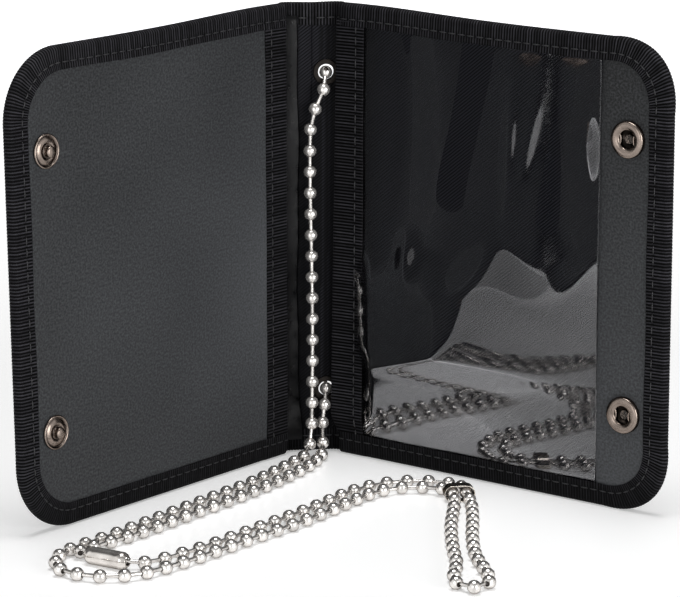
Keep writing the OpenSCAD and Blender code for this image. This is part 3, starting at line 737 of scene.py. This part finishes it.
def slide(weight):
    """The slide that gathers both strands: a band of sheet round an oblong, two half circles 3.6
    mm apart, with both its mouths rolled outwards."""
    around, middle = 64, 1.8 * MM
    angle = np.arange(around) / around * 2 * math.pi
    shift = middle * np.clip(np.cos(angle) * 6, -1, 1)
    along = np.array([-1.7, -1.75, -1.6, -1.2, 0, 1.2, 1.6, 1.75, 1.7, 1.5, 1.1, 0, -1.1, -1.5]) * MM
    size = np.array([1.95, 2.08, 2.16, 2.13, 2.15, 2.13, 2.16, 2.08, 1.95, 1.86, 1.8, 1.78, 1.8,
                     1.86]) * MM
    x = shift[None] + np.cos(angle)[None] * size[:, None]
    z = np.sin(angle)[None] * size[:, None]
    rings = SLIDE_AT + np.stack([x, np.broadcast_to(along[:, None], x.shape), z], -1)
    shade = np.repeat((size < 1.9 * MM) * 0.55, around)
    return fitting("slide", rings, FORMED_NICKEL, shade, "chain_slide", RIGHT, weight, closed=True)


def chain():
    """The whole ball chain, in stretches, and its coupling and slide."""
    front, lower, behind = chain_places("front", "lower"), balls_on("lower"), balls_on("behind")
    hanging = chain_places("inside", "back", "outer_left")
    far, home = chain_places("outer_right", "loop", "inner_right"), balls_on("inner_left")
    head, tail = front[0], home[-1]
    clasp_share = float(push_share((head + tail) / 2, LEFT))
    clasp, band = coupling(head, tail, clasp_share), slide(float(push_share(SLIDE_AT, RIGHT)))
    rows = [
        (chain_piece("chain_front", front, LEFT, held=[(0, clasp_share)]), front[::-1], clasp,
         ("chain_front_row", "chain_lower_run")),
        (chain_piece("chain_behind", behind, None, slice(None), lower[-2]), behind, None,
         ("chain_behind_run",)),
        (chain_piece("chain_back", hanging, LEFT, slice(1, -1), behind[-2]), hanging, None,
         ("chain_inside_run", "chain_back_row", "chain_outer_return_left")),
        (chain_piece("chain_loop", far, RIGHT, start=hanging[-2]), far, band,
         ("chain_outer_return_right", "chain_front_loop", "chain_inner_return_right")),
        (chain_piece("chain_return", home, LEFT, slice(None), far[-2],
                     held=[(-1, clasp_share)]), home, clasp, ("chain_inner_return_left",)),
    ]
    for piece, line, end, nodes in rows:
        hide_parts(*nodes)
        float(np.linalg.norm(np.diff(line, axis=0), axis=1).sum())


chain()


# Sheets of the wallet

def wallet_sheet(side, kind, node, a, z, top, bottom, material):
    """A closed sheet over half the spine and a leaf, between the layers top and bottom. The right
    one takes the place of the spine's own node too."""
    half = SIDE_NAME[side]
    piece = slab_solid(f"{half}_{kind}", on_wallet(side, a, z, top), on_wallet(side, a, z, bottom),
                       material, pair(side * a, z), clear_of_eyelets(side, a, z))
    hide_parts(f"{half}_{node}", *([f"spine_{node}"] if side == RIGHT else []))
    over_fold(piece, side)
    return piece


def leaf_sheet(side, name, u, z, top, bottom, material, slot, node, ends=None, **soft):
    """A closed sheet on a leaf, between the layers top and bottom. Where two ends are given it is
    only baked in place, and otherwise it is parented to its leaf's body. soft, meant to say how a
    soft one lies, is not used."""
    piece = slab_solid(name, on_leaf(side, u, z, top), on_leaf(side, u, z, bottom), material,
                       pair(u, z))
    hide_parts(node)
    if ends:
        bend_between(piece, side, *ends)
    else:
        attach(piece, SIDE_NAME[side] + "_leaf")
    return piece


def wallet_grid(inset, rows):
    """Grid of a and z over half the wallet, from the middle of the spine to the outer edge, with
    fine steps over the spine and the fold."""
    spine = np.arange(0, FOLD_A + 3.5 * MM, 0.42 * MM)
    a = np.concatenate([spine, FOLD_A + corner_steps(spine[-1] - FOLD_A + 1 * MM, inset)])
    u, z = leaf_grid(a - FOLD_A, rows, inset)
    return u + FOLD_A, z


def clear_of_eyelets(side, a, z):
    """True for each quad of a grid whose middle is outside the two eyelets' barrels."""
    if side == LEFT:
        return None
    middle = on_wallet(side, (a[:-1, :-1] + a[1:, 1:]) / 2, (z[:-1, :-1] + z[1:, 1:]) / 2, 0)
    away = [np.hypot(middle[..., 0] - EYELET_X, middle[..., 2] - height) for height in EYELET_Z]
    return np.minimum(*away) > EYELET_ROOM


HIDDEN_INSET = 1 * MM


def leaf_share(a):
    """0 on the spine and 1 on the leaf, with a soft step over the last of the fold."""
    return soft_step((a - FOLD_A + 0.6 * MM) / (2.4 * MM))


def cover(side):
    """The outer cover, from V_OUT to V_COVER, squeezed at the rim, with a low crease where it
    turns over the board's edge."""
    a, z = wallet_grid(HIDDEN_INSET, EYELET_ROWS)
    crease = -0.12 * MM * bump(a, FOLD_A + BOARD_INSET, 0.9 * MM)
    outer, inner = (v + (pressed(a - FOLD_A, z, v) - v) * leaf_share(a) + crease
                    for v in (V_OUT, V_COVER))
    wallet_sheet(side, "outer_cover", "cover", a, z, inner, outer, COVER)


def lining(side):
    """The twill lining. Its face is at SPINE_T / 2 on the spine and climbs onto the board, to
    V_LINING, over the board's edge. Low folds run up the leaf."""
    a, z = wallet_grid(HIDDEN_INSET, EYELET_ROWS)
    u = a - FOLD_A
    climb = soft_step((u - 0.4 * MM) / (2.4 * MM))
    folds = (0.1 * MM * np.sin(u / (5.2 * MM) + 1.4 * np.sin(z / (31 * MM)))
             * soft_step((u - 6 * MM) / (8 * MM)))
    flat = SPINE_T / 2 + (V_LINING - SPINE_T / 2) * climb + folds
    top = flat + (pressed(u, z, flat) - flat) * leaf_share(a)
    piece = wallet_sheet(side, "twill_lining", "lining", a, z, top, top - TAPE_T, LINING)
    # Painted shade darkens the lining in the spine's crease, and a painted highlight pales a fold near
    # the spine's top.
    rub(piece, soft_step((u - 4 * MM) / (8 * MM)) + 0.4 * bump(a, 2 * MM, 3 * MM)
        * soft_step((z - 75 * MM) / (35 * MM)))


def rub(piece, amount):
    """Keeps how much painted light pales each point of a slab's front face, from 0 to 1; low values
    leave painted shade.
    """
    rest = np.zeros(len(piece.data.vertices) - amount.size)
    mark(piece, "rub", np.concatenate([amount.ravel(), rest]))


def left_board():
    """The left leaf's stiffener, which takes the leaf's twist, 0.8 mm thick."""
    u, z = leaf_grid(corner_steps(BOARD_INSET, BOARD_INSET), ROWS, BOARD_INSET)
    leaf_sheet(LEFT, "left_stiffener", u, z, pressed(u, z, V_BOARD), pressed(u, z, V_COVER), BOARD,
               "stiffener_board", "left_board")


def loose(u, z):
    """How free a sheet is of the snap fasteners: 0 under them and 1 from 8 mm off their axes."""
    away = [np.hypot(u - SNAP_U, z - height) for height in SNAP_Z]
    return soft_step((np.minimum(*away) - 4.8 * MM) / (3.2 * MM))


def divider():
    """The smooth sheet in the left pocket. Its free edge stands 3 mm out over the crease and
    curls inwards, by the distance past the mouth to the power 1.5."""
    u = np.concatenate([np.arange(-3.2, 3, 0.3), np.arange(3, 96, 2.4)]) * MM
    u, z = leaf_grid(u, ROWS, 3.5 * MM)
    out = np.clip((1.2 * MM - u) / (4.4 * MM), 0, 1)
    wave = 0.25 * MM * np.sin(z / (11 * MM) + 0.6) + 0.18 * MM * np.sin(z / (4.1 * MM))
    lift = 1.7 * MM * out ** 1.5 + wave * out + 0.9 * MM * out * bump(z, 6 * MM, 5 * MM)
    low = pressed(u, z, V_LINING + 0.04 * MM) + lift
    leaf_sheet(LEFT, "left_divider_sheet", u, z, low + 0.2 * MM, low, DIVIDER, "divider_vinyl",
               "left_divider", [on_leaf(LEFT, at * MM, 0, V_LINING) for at in (-1, 2.5)],
               flat=(99 * MM, 113 * MM), held="laid", rests_on=["left_twill_lining"])


def pocket_panel():
    """The grained panel of the left pocket, a sheet 0.7 mm thick that bellies by 0.3 mm between
    the sewn rim and the mouth."""
    u, z = leaf_grid(corner_steps(MOUTH[LEFT] + 0.5 * MM, HIDDEN_INSET), ROWS, HIDDEN_INSET)
    belly = 0.3 * MM * soft_step(edge_gap(u, z) / (20 * MM) - 0.35) * loose(u, z)
    top = pressed(u, z, V_FACE) + belly
    piece = leaf_sheet(LEFT, "left_pocket_face", u, z, top, top - 0.7 * MM, PANEL_CLOTH,
                       "panel_cloth", "left_pocket_panel", flat=(102 * MM, 119 * MM),
                       held="stretched", rests_on=["left_divider_sheet"])
    # Painted light: the panel is painted paler towards the crease, most at mid height.
    rub(piece, 0.22 + 1.25 * np.exp(-u / (30 * MM)) * bump(z, 50 * MM, 34 * MM))


def film_height(u, z):
    """How far the loose window film stands off its board, for u and z in millimetres. Below its
    crease it bulges to a ridge that leans outwards as it rises, and falls off past the ridge as
    e to the minus distance. Near the foot, low, it leaves the gaping tape at once. Above the
    crease it sags towards the strip. Waves run up it and a few dents catch the light."""
    low = 1 - soft_step((z - 23) / 8)
    ridge = 38 + 0.35 * (z - 35) - 20 * low - 6 * bump(z, 24, 9)
    past = 1.5 * np.log1p(np.exp((u - ridge) / 1.5))
    inner = ((1 - low) * (0.5 * soft_step((u - 3) / 9) + 0.5 * soft_step((u - 6) / 28))
             + low * soft_step((u - 8) / 5))
    outer = np.exp(-past / 20) - 0.09 * np.clip((u - 34) / 49.3, 0, 1)
    crease = 52.5 + 5 * bump(u, 50, 9) + 11 * bump(u, 82, 9)
    belly = soft_step((z - 3) / 28) * (1 - soft_step((z - crease + 7) / 14))
    ends = (soft_step((u - 2) / 6) * soft_step((83.3 - u) / 4)
            * soft_step((z - 4) / 5) * soft_step((118 - z) / 4))
    waves = 0.16 * np.sin(u / 4.6 + 1.1 * np.sin(z / 19) + 0.5) * bump(u, 15, 16)
    dents = (0.85 * bump(u, 79, 3.6) * bump(z, 91, 5.5) + 0.85 * bump(u, 22.5, 2.8) * bump(z, 56, 5)
             + 0.15 * bump(u, 54.5 + (z - 90) / 20, 2.2) * bump(z, 87, 15)
             + 0.085 * bump(u, 60 + (z - 90) / 4, 2.2) * bump(z, 88, 12))
    slack = np.clip((83.6 - u) / 17, 0, 1)
    sag = (soft_step((z - 42) / 30) * soft_step((119 - z) / 4)
           * slack * (2 - slack) * soft_step((u - 4) / 20))
    return (3.2 * inner * outer * belly * soft_step((z - 4) / 5) - 0.9 * sag
            + ends * (waves * soft_step((z - 25) / 20) + dents))


def window():
    """The clear window, a film 0.3 mm thick that is sewn in at its edges and loose between."""
    u, z = leaf_grid(np.arange(1.1, 83.2, 0.5) * MM, np.linspace(0, 1, 200), HIDDEN_INSET)
    top = pressed(u, z, V_FACE - 0.1 * MM) + film_height(u / MM, z / MM) * MM
    leaf_sheet(RIGHT, "clear_window_film", u, z, top, top - 0.3 * MM, CLEAR, "clear_vinyl",
               "clear_window", flat=(83 * MM, 118 * MM), held="stretched",
               rests_on=["right_twill_lining"])


def snap_strip():
    """The grained strip that carries the sockets, with a soft cut edge along the window."""
    u, z = leaf_grid(np.unique(np.concatenate([
        WINDOW_END + np.array([0, 0.05, 0.15, 0.3, 0.6]) * MM,
        corner_steps(LEAF_W - CORNER_R + 0.8 * MM, HIDDEN_INSET)])), ROWS, HIDDEN_INSET)
    round_off = 0.22 * MM * (1 - soft_step((u - WINDOW_END) / (0.5 * MM)))
    belly = 0.35 * MM * soft_step(edge_gap(u, z) / (10 * MM) - 0.6) * loose(u, z)
    piece = leaf_sheet(RIGHT, "right_snap_strip", u, z, pressed(u, z, V_FACE) - round_off + belly,
                       pressed(u, z, V_PANEL_BACK), PANEL_CLOTH, "panel_cloth", "snap_strip",
                       flat=(20 * MM, 112 * MM), held="stretched", rests_on=["right_twill_lining"])
    # Painted light: the strip is painted darker towards its top and paler towards its foot.
    rub(piece, 1.15 * (1 - z / LEAF_H) ** 0.9 - 0.2)


# Ribbed tape

RIB_PITCH, RIB_H, RIB_SAMPLES = 0.83 * MM, 0.13 * MM, 6
STITCH_PITCH, STITCH_L, STITCH_R = 2.9 * MM, 2.3 * MM, 0.17 * MM
# Distance of the seams from the outer edges of the binding and of a mouth tape
BINDING_SEAM, MOUTH_SEAM = BINDING_W - 1.9 * MM, 6.2 * MM


def rib(s, seed):
    """Height of the ribs at distance s along a tape, from 0 to 1: the size of a sine whose half
    wave is RIB_PITCH, each rib a little higher or lower than the next."""
    number = np.floor(s / RIB_PITCH).astype(int)
    uneven = np.random.default_rng(seed).uniform(0.85, 1.0, number.max() + 2)
    return np.abs(np.sin(math.pi * s / RIB_PITCH)) * uneven[number]


def tape(name, place, length, top, back, width, rim, squeeze, seam, seed):
    """A tape folded over an edge. Its section starts at the inner edge of the back leg, runs out
    to the rim, round it on a quarter of an ellipse each way, and back along the front leg, then
    returns inside at the tape's thickness. top and back give the layers of its two outer faces
    at each distance along it. place carries distance along, distance from the edge and layer to
    points of the wallet. Ribs stand proud of the outer face, and a stitch line draws it in. The
    tops of the ribs are painted pale, a painted highlight, and the gaps, the stitch line and the
    foot are painted darker, as painted shade."""
    s = np.arange(round(length / RIB_PITCH) * RIB_SAMPLES + 1) * RIB_PITCH / RIB_SAMPLES
    s = (s * length / s[-1])[:, None]
    leg = np.concatenate([np.linspace(rim, width - 2.9 * MM, 4)[:-1], width + np.array(
        [-2.9, -2.5, -2.2, -1.9, -1.6, -1.3, -0.9, -0.35, -0.05]) * MM])
    turn = np.linspace(-math.pi / 2, math.pi / 2, 11)
    flat = np.ones(len(leg) - 1)
    w = np.concatenate([leg[:0:-1], rim * (1 - np.cos(turn)), leg[1:]])[None]
    rise = np.concatenate([-flat, np.sin(turn), flat])[None]
    out = np.concatenate([0 * flat, np.cos(turn), 0 * flat])[None]
    middle, half = (top(s) + back(s)) / 2, (top(s) - back(s)) / 2
    height = rib(s, seed)
    sewn = bump(w, seam, 0.42 * MM) * (0.45 + 0.4 * np.cos(2 * math.pi * s / STITCH_PITCH))
    lift = RIB_H * (height - 0.6) - 0.16 * MM * sewn
    edge_w = 0.12 * MM * np.sin(s / (6.3 * MM) + seed) * (w > width - 0.5 * MM)
    outer_v = middle + half * rise * squeeze(s, w) + lift * rise
    outer_w = w - lift * out + edge_w
    inner_w = np.maximum(w, TAPE_T * 0.9)
    inner_v = middle + np.maximum(half - TAPE_T, 0) * rise * squeeze(s, w) - 0.02 * MM * rise
    ring_w = np.concatenate([outer_w, np.broadcast_to(inner_w, outer_v.shape)[:, ::-1]], 1)
    ring_v = np.concatenate([outer_v, inner_v[:, ::-1]], 1)
    reach = np.concatenate([[0], np.cumsum(np.hypot(np.diff(w[0]), np.diff(rise[0]) * 1.2 * MM))])
    reach = np.concatenate([reach, reach[-1] + reach])[None]
    points = place(s, ring_w, ring_v)
    piece = ring_solid(name, points[None], TAPE, pair(reach, np.broadcast_to(s, ring_v.shape)))
    # Painted highlight on the tops of the ribs, and painted shade in their gaps and along the stitch
    # line.
    crest = np.clip((height - 0.3) / 0.65, 0, 1) ** 4 * (1 - 0.6 * np.clip(sewn, 0, 1))
    crest = np.concatenate([crest, np.zeros_like(crest)], 1)
    # Painted shade: the ribs are painted darker near the foot.
    crest *= 0.35 + 0.65 * soft_step((points[..., 2] - 2 * MM) / (12 * MM))
    mark(piece, "crest", crest)
    return piece


def stitches(name, place, length, faces, seam):
    """A line of lock stitches: each a capsule of thread along the tape, whose ends go down into
    the cloth. Its rings have the radius r times the root of 1 - t², and its middle stands up by
    1 - t², with t from -1 to 1 along it."""
    start = np.arange(0.5 * STITCH_PITCH, length - 0.4 * STITCH_PITCH, STITCH_PITCH)
    t = np.array([-1, -0.85, -0.5, 0, 0.5, 0.85, 1])
    angle = np.arange(6) / 6 * 2 * math.pi
    size = STITCH_R * np.sqrt(np.maximum(1 - t ** 2, 0.06))[None, :, None]
    rings, flat = [], []
    for layer, direction in faces:
        s = start[:, None, None] + STITCH_L / 2 * t[None, :, None] + 0 * angle
        w = seam + np.cos(angle) * size + 0 * s
        up = 0.16 * MM * (1 - t ** 2)[None, :, None] - 0.14 * MM + np.sin(angle) * size + 0 * s
        rings.append(place(s, w, layer(s) + direction * up))
        flat.append(pair(s, angle * STITCH_R + 0 * s))
    piece = ring_solid(name, np.concatenate(rings), THREAD, np.concatenate(flat))
    return piece


def outline_place(side):
    """Three things about half the wallet's outline, from the foot of the spine's middle round the
    leaf to the spine's top: a function that carries distance along it, distance in from it and
    layer to points, its length, and a function that gives the distance a at each point of it."""
    bend = np.linspace(-math.pi / 2, math.pi / 2, 129)
    bend = np.insert(bend, 65, 0)
    centre, upper = FOLD_A + LEAF_W - CORNER_R, (np.arange(130) > 64) * (LEAF_H - 2 * CORNER_R)
    a = np.concatenate([[0], centre + CORNER_R * np.cos(bend), [0]])
    z = np.concatenate([[0], CORNER_R + CORNER_R * np.sin(bend) + upper, [LEAF_H]])
    in_a = np.concatenate([[0], -np.cos(bend), [0]])
    in_z = np.concatenate([[1], -np.sin(bend), [-1]])
    run = np.concatenate([[0], np.cumsum(np.hypot(np.diff(a), np.diff(z)))])

    def place(s, w, v):
        """Points at distance s along the outline, w in from it and in layer v."""
        at = np.interp(s, run, a) + w * np.interp(s, run, in_a)
        return on_wallet(side, at, np.interp(s, run, z) + w * np.interp(s, run, in_z), v)

    return place, run[-1], lambda s: np.interp(s, run, a)


def binding(side):
    """The binding of half the wallet, one tape round the foot, the outer edge and the top. Its
    front leg steps up from the spine's lining onto the leaf, and over the end of the mouth
    tape there. The rim is squeezed by the seam."""
    place, length, distance = outline_place(side)
    mouth, half = FOLD_A + MOUTH[side], SIDE_NAME[side]

    def top(s):
        """Layer of the front face."""
        a = distance(s)
        climb = soft_step((a - mouth + 1.0 * MM) / (1.8 * MM))
        over = soft_step((a - mouth + 1.0 * MM) / (1.6 * MM)) * (
            1 - soft_step((a - mouth - MOUTH_W + 0.4 * MM) / (1.2 * MM)))
        return SPINE_T / 2 + TAPE_T + (V_FACE - SPINE_T / 2) * climb + 0.3 * MM * over

    def back(s):
        """Layer of the back face."""
        return V_OUT - TAPE_T + 0 * s

    def squeeze(s, w):
        """Share of the thickness that the seam leaves: all of it on the spine."""
        return 1 - leaf_share(distance(s)) * (1 - rim_squeeze(w))

    def face(way):
        """Layer at the seam of the front face, where way is 1, or of the back one, at -1."""
        return lambda s: ((top(s) + back(s)) / 2
                          + way * (top(s) - back(s)) / 2 * squeeze(s, BINDING_SEAM))

    piece = tape(half + "_edge_binding", place, length, top, back, BINDING_W, rim=1.2 * MM,
                 squeeze=squeeze, seam=BINDING_SEAM, seed=5 + side)
    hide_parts(half + "_binding",
                "spine_binding_bottom" if side == LEFT else "spine_binding_top")
    over_fold(piece, side)
    seam = stitches(half + "_edge_stitches", place, length, [(face(1), 1), (face(-1), -1)],
                    BINDING_SEAM)
    over_fold(seam, side)


def mouth_tape(side):
    """The tape over a pocket's mouth edge, from under the binding at the foot to under it at the
    top, with its own stitch line. The right pocket gapes: towards the foot its edge stands out
    over the crease and off the leaf, the more the nearer to the free edge."""
    low, length, half = 4.6 * MM, LEAF_H - 9.2 * MM, SIDE_NAME[side]
    back_layer = (V_PANEL_BACK if side == LEFT else V_WINDOW_BACK) - TAPE_T

    def place(s, w, v):
        """Points at distance s up the tape, w in from its free edge and in layer v."""
        slack = (side == RIGHT) * (1 - 0.85 * s / LEAF_H) * soft_step(s / (7 * MM))
        free = 1 - w / MOUTH_W
        return on_leaf(side, MOUTH[side] + w - slack * (0.6 + 1.3 * free) * MM, low + s,
                       v + 1.1 * MM * slack * free ** 2)

    def top(s):
        """Layer of the front face."""
        return V_FACE + TAPE_T + 0 * s

    piece = tape(half + "_mouth_binding", place, length, top, lambda s: back_layer + 0 * s,
                 MOUTH_W, rim=0.6 * MM, squeeze=lambda s, w: 1.0 + 0 * s * w, seam=MOUTH_SEAM,
                 seed=9 + side)
    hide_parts(half + "_mouth_tape")
    if side == LEFT:
        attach(piece, "left_leaf")
    else:
        bend_between(piece, side, *(on_leaf(side, at * MM, 0, V_FACE) for at in (-1.8, 1.5)))
    seam = stitches(half + "_mouth_stitches", place, length, [(top, 1)], MOUTH_SEAM)
    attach(seam, half + "_leaf")


# Snap fasteners

def lathe(name, place, profile, material):
    """A turned piece: each point (r, h) of the profile, in millimetres, swept round the axis."""
    angle = np.arange(AROUND) / AROUND * 2 * math.pi
    r, h = (np.array(profile) * MM).T[..., None]
    return ring_solid(name, place(r * np.cos(angle), r * np.sin(angle), h + 0 * angle)[None], material)


def on_snap(side, height, layer):
    """Carries distances across a snap fastener, and above its sheet, to points of a leaf."""
    return lambda x, y, h: on_leaf(side, SNAP_U + x, height + y, layer + h)


AROUND = 48
STUD_PROFILE = [
    (0.02, 0.0), (4.3, 0.0), (4.34, 0.2), (4.27, 0.42), (4.1, 0.54), (3.92, 0.5), (3.8, 0.36),
    (3.7, 0.2), (3.55, 0.16), (3.4, 0.2), (3.25, 0.34), (2.95, 0.5), (2.55, 0.62), (2.2, 0.64),
    (2.0, 0.55), (1.88, 0.38), (1.75, 0.28), (1.45, 0.28), (1.22, 0.4), (1.14, 0.75),
    (1.14, 1.2), (1.26, 1.36), (1.42, 1.52), (1.46, 1.7), (1.4, 1.9), (1.22, 2.06), (0.95, 2.15),
    (0.5, 2.2), (0.02, 2.21)]
RIVET_PROFILE = [(0.02, -0.3), (3.3, -0.3), (3.3, 0.0), (0.02, 0.0)]
SOCKET_PROFILE = [
    (0.02, 0.0), (4.6, 0.0), (4.7, 0.12), (4.72, 0.75), (4.66, 1.1), (4.5, 1.34), (4.2, 1.5),
    (3.8, 1.57), (3.4, 1.57), (3.0, 1.5), (2.65, 1.36), (2.42, 1.18), (2.28, 0.98), (2.26, 0.86),
    (2.34, 0.82), (2.5, 0.92), (2.8, 1.12), (3.9, 1.2), (4.15, 1.0), (4.2, 0.5), (4.15, 0.27),
    (3.0, 0.25), (1.5, 0.25), (1.2, 0.05), (1.0, -0.25), (0.02, -0.3)]


def snaps():
    """Two studs on the left leaf and two sockets on the right one. Their shade attribute darkens
    the grooves of a stud and the inside of a socket."""
    groove = [0.5 * ((3.4 <= r <= 3.7 or 1.15 <= r <= 1.88) and h < 0.5) for r, h in STUD_PROFILE]
    inside = [0.85 * (i > 14) for i in range(len(SOCKET_PROFILE))]
    for name, height in zip(("lower", "upper"), SNAP_Z):
        for side, kind, node, layer, profile, shade in (
            (LEFT, "snap_stud", "stud", V_FACE + 0.2 * MM, STUD_PROFILE, groove),
            (RIGHT, "snap_socket", "socket", V_FACE, SOCKET_PROFILE, inside),
            (LEFT, "clench_disc", "stud_rivet", V_PANEL_BACK, RIVET_PROFILE,
             [0.0] * len(RIVET_PROFILE)),
        ):
            piece = lathe(f"{name}_{kind}", on_snap(side, height, layer), profile, DARK_NICKEL)
            mark(piece, "shade", np.repeat(shade, AROUND))
            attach(piece, SIDE_NAME[side] + "_leaf")
            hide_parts(f"{name}_{node}")


for half in (LEFT, RIGHT):
    cover(half)
    lining(half)
    binding(half)
    mouth_tape(half)
left_board()
divider()
pocket_panel()
window()
snap_strip()
snaps()


# CAD pieces whose shape is right, with their own finish

FINISHES = {"right_board": BOARD}
for level in ("upper", "lower"):
    for part, finish in (("eyelet", BLACK_NICKEL), ("eyelet_washer", BLACK_NICKEL),
                         ("socket_rivet", DARK_NICKEL), ("socket_spring", DARK_NICKEL)):
        FINISHES[f"{level}_{part}"] = finish
for node, finish in FINISHES.items():
    frame["nodes"][node].data.materials.clear()
    frame["nodes"][node].data.materials.append(finish)


# The studio

def mirrored(tree, path):
    """1 where the ray comes from a mirror or through glass, and 0 elsewhere."""
    return math_node(tree, "MAXIMUM", path.outputs["Is Glossy Ray"],
                     path.outputs["Is Transmission Ray"])


def add_floor():
    """A white table 6 m wide, lit by the lamps. Seen by the camera or mirrored in metal or glass
    it gives a little light of its own, more the farther off, so that it stays white."""
    material, tree, shader = new_material("white_table", Base_Color=linear("#f2f2f2"),
                                          Roughness=0.35)
    path = add(tree, "LightPath")
    seen = math_node(tree, "MAXIMUM", path.outputs["Is Camera Ray"], mirrored(tree, path))
    far = add(tree, "VectorMath", {0: add(tree, "TexCoord").outputs["Object"]}, operation="LENGTH")
    strength = times(tree, seen, span(tree, far.outputs["Value"], 0.18, 0.9, 0.29, 1.0))
    glow = add(tree, "Emission", {"Color": linear("#ffffff"), "Strength": strength})
    both = add(tree, "AddShader", {0: shader.outputs[0], 1: glow.outputs[0]})
    tree.links.new(both.outputs[0], tree.nodes["Material Output"].inputs["Surface"])
    corners = 3.0 * np.array([(-1, -1, 0), (1, -1, 0), (1, 1, 0), (-1, 1, 0)])
    put("floor", corners, [(0, 1, 2, 3)], material)


def add_world():
    """White to the camera. Metal and glass see white walls at both sides, a grey room in front and
    a grey ceiling, dark behind the table above its backdrop. The rest gets an even soft grey."""
    world = bpy.data.worlds.new("studio")
    world.use_nodes = True
    tree = world.node_tree
    path = add(tree, "LightPath")
    split = add(tree, "SeparateXYZ", {0: add(tree, "TexCoord").outputs["Generated"]})
    height, behind = split.outputs["Z"], split.outputs["Y"]
    dark = times(tree, span(tree, behind, 0.03, 0.18, 0, 0.94), span(tree, height, 0.08, 0.2))
    room = times(tree, span(tree, behind, -0.4, -0.75, 0, 0.35), span(tree, height, 0.02, 0.1))
    ceiling = math_node(tree, "MINIMUM", math_node(tree, "SUBTRACT", 1.0, room),
                        span(tree, height, 0.6, 0.8, 1.0, 0.3))
    around = times(tree, ceiling, math_node(tree, "SUBTRACT", 1.0, dark))
    mirror = mirrored(tree, path)
    plain = math_node(tree, "MAXIMUM", path.outputs["Is Camera Ray"], 0.16)
    even = times(tree, plain, math_node(tree, "SUBTRACT", 1.0, mirror))
    tree.links.new(math_node(tree, "MULTIPLY_ADD", around, mirror, even),
                   tree.nodes["Background"].inputs["Strength"])
    tree.nodes["Background"].inputs["Color"].default_value = linear("#ffffff")
    bpy.context.scene.world = world


def add_lamp(name, place, target, size, watts):
    """A square soft box that faces its target."""
    lamp = bpy.data.lights.new(name, "AREA")
    lamp.shape, lamp.size, lamp.energy = "SQUARE", size, watts
    box = show(name, lamp)
    forward = np.array(target) - np.array(place)
    box.location = place
    box.rotation_euler = (math.acos(-forward[2] / np.linalg.norm(forward)), 0,
                          math.atan2(forward[1], forward[0]) - math.pi / 2)


add_floor()
add_world()
for lamp, at, power in (("top", (0, 0.001, 1.0), 6.75), ("right", (0.5, -0.8, 0.25), 4.5),
                        ("left", (-0.5, -0.8, 0.25), 1.35)):
    add_lamp(lamp, at, target=(0, 0, 0.05), size=0.5, watts=power)
bpy.context.scene.view_settings.view_transform = "Standard"
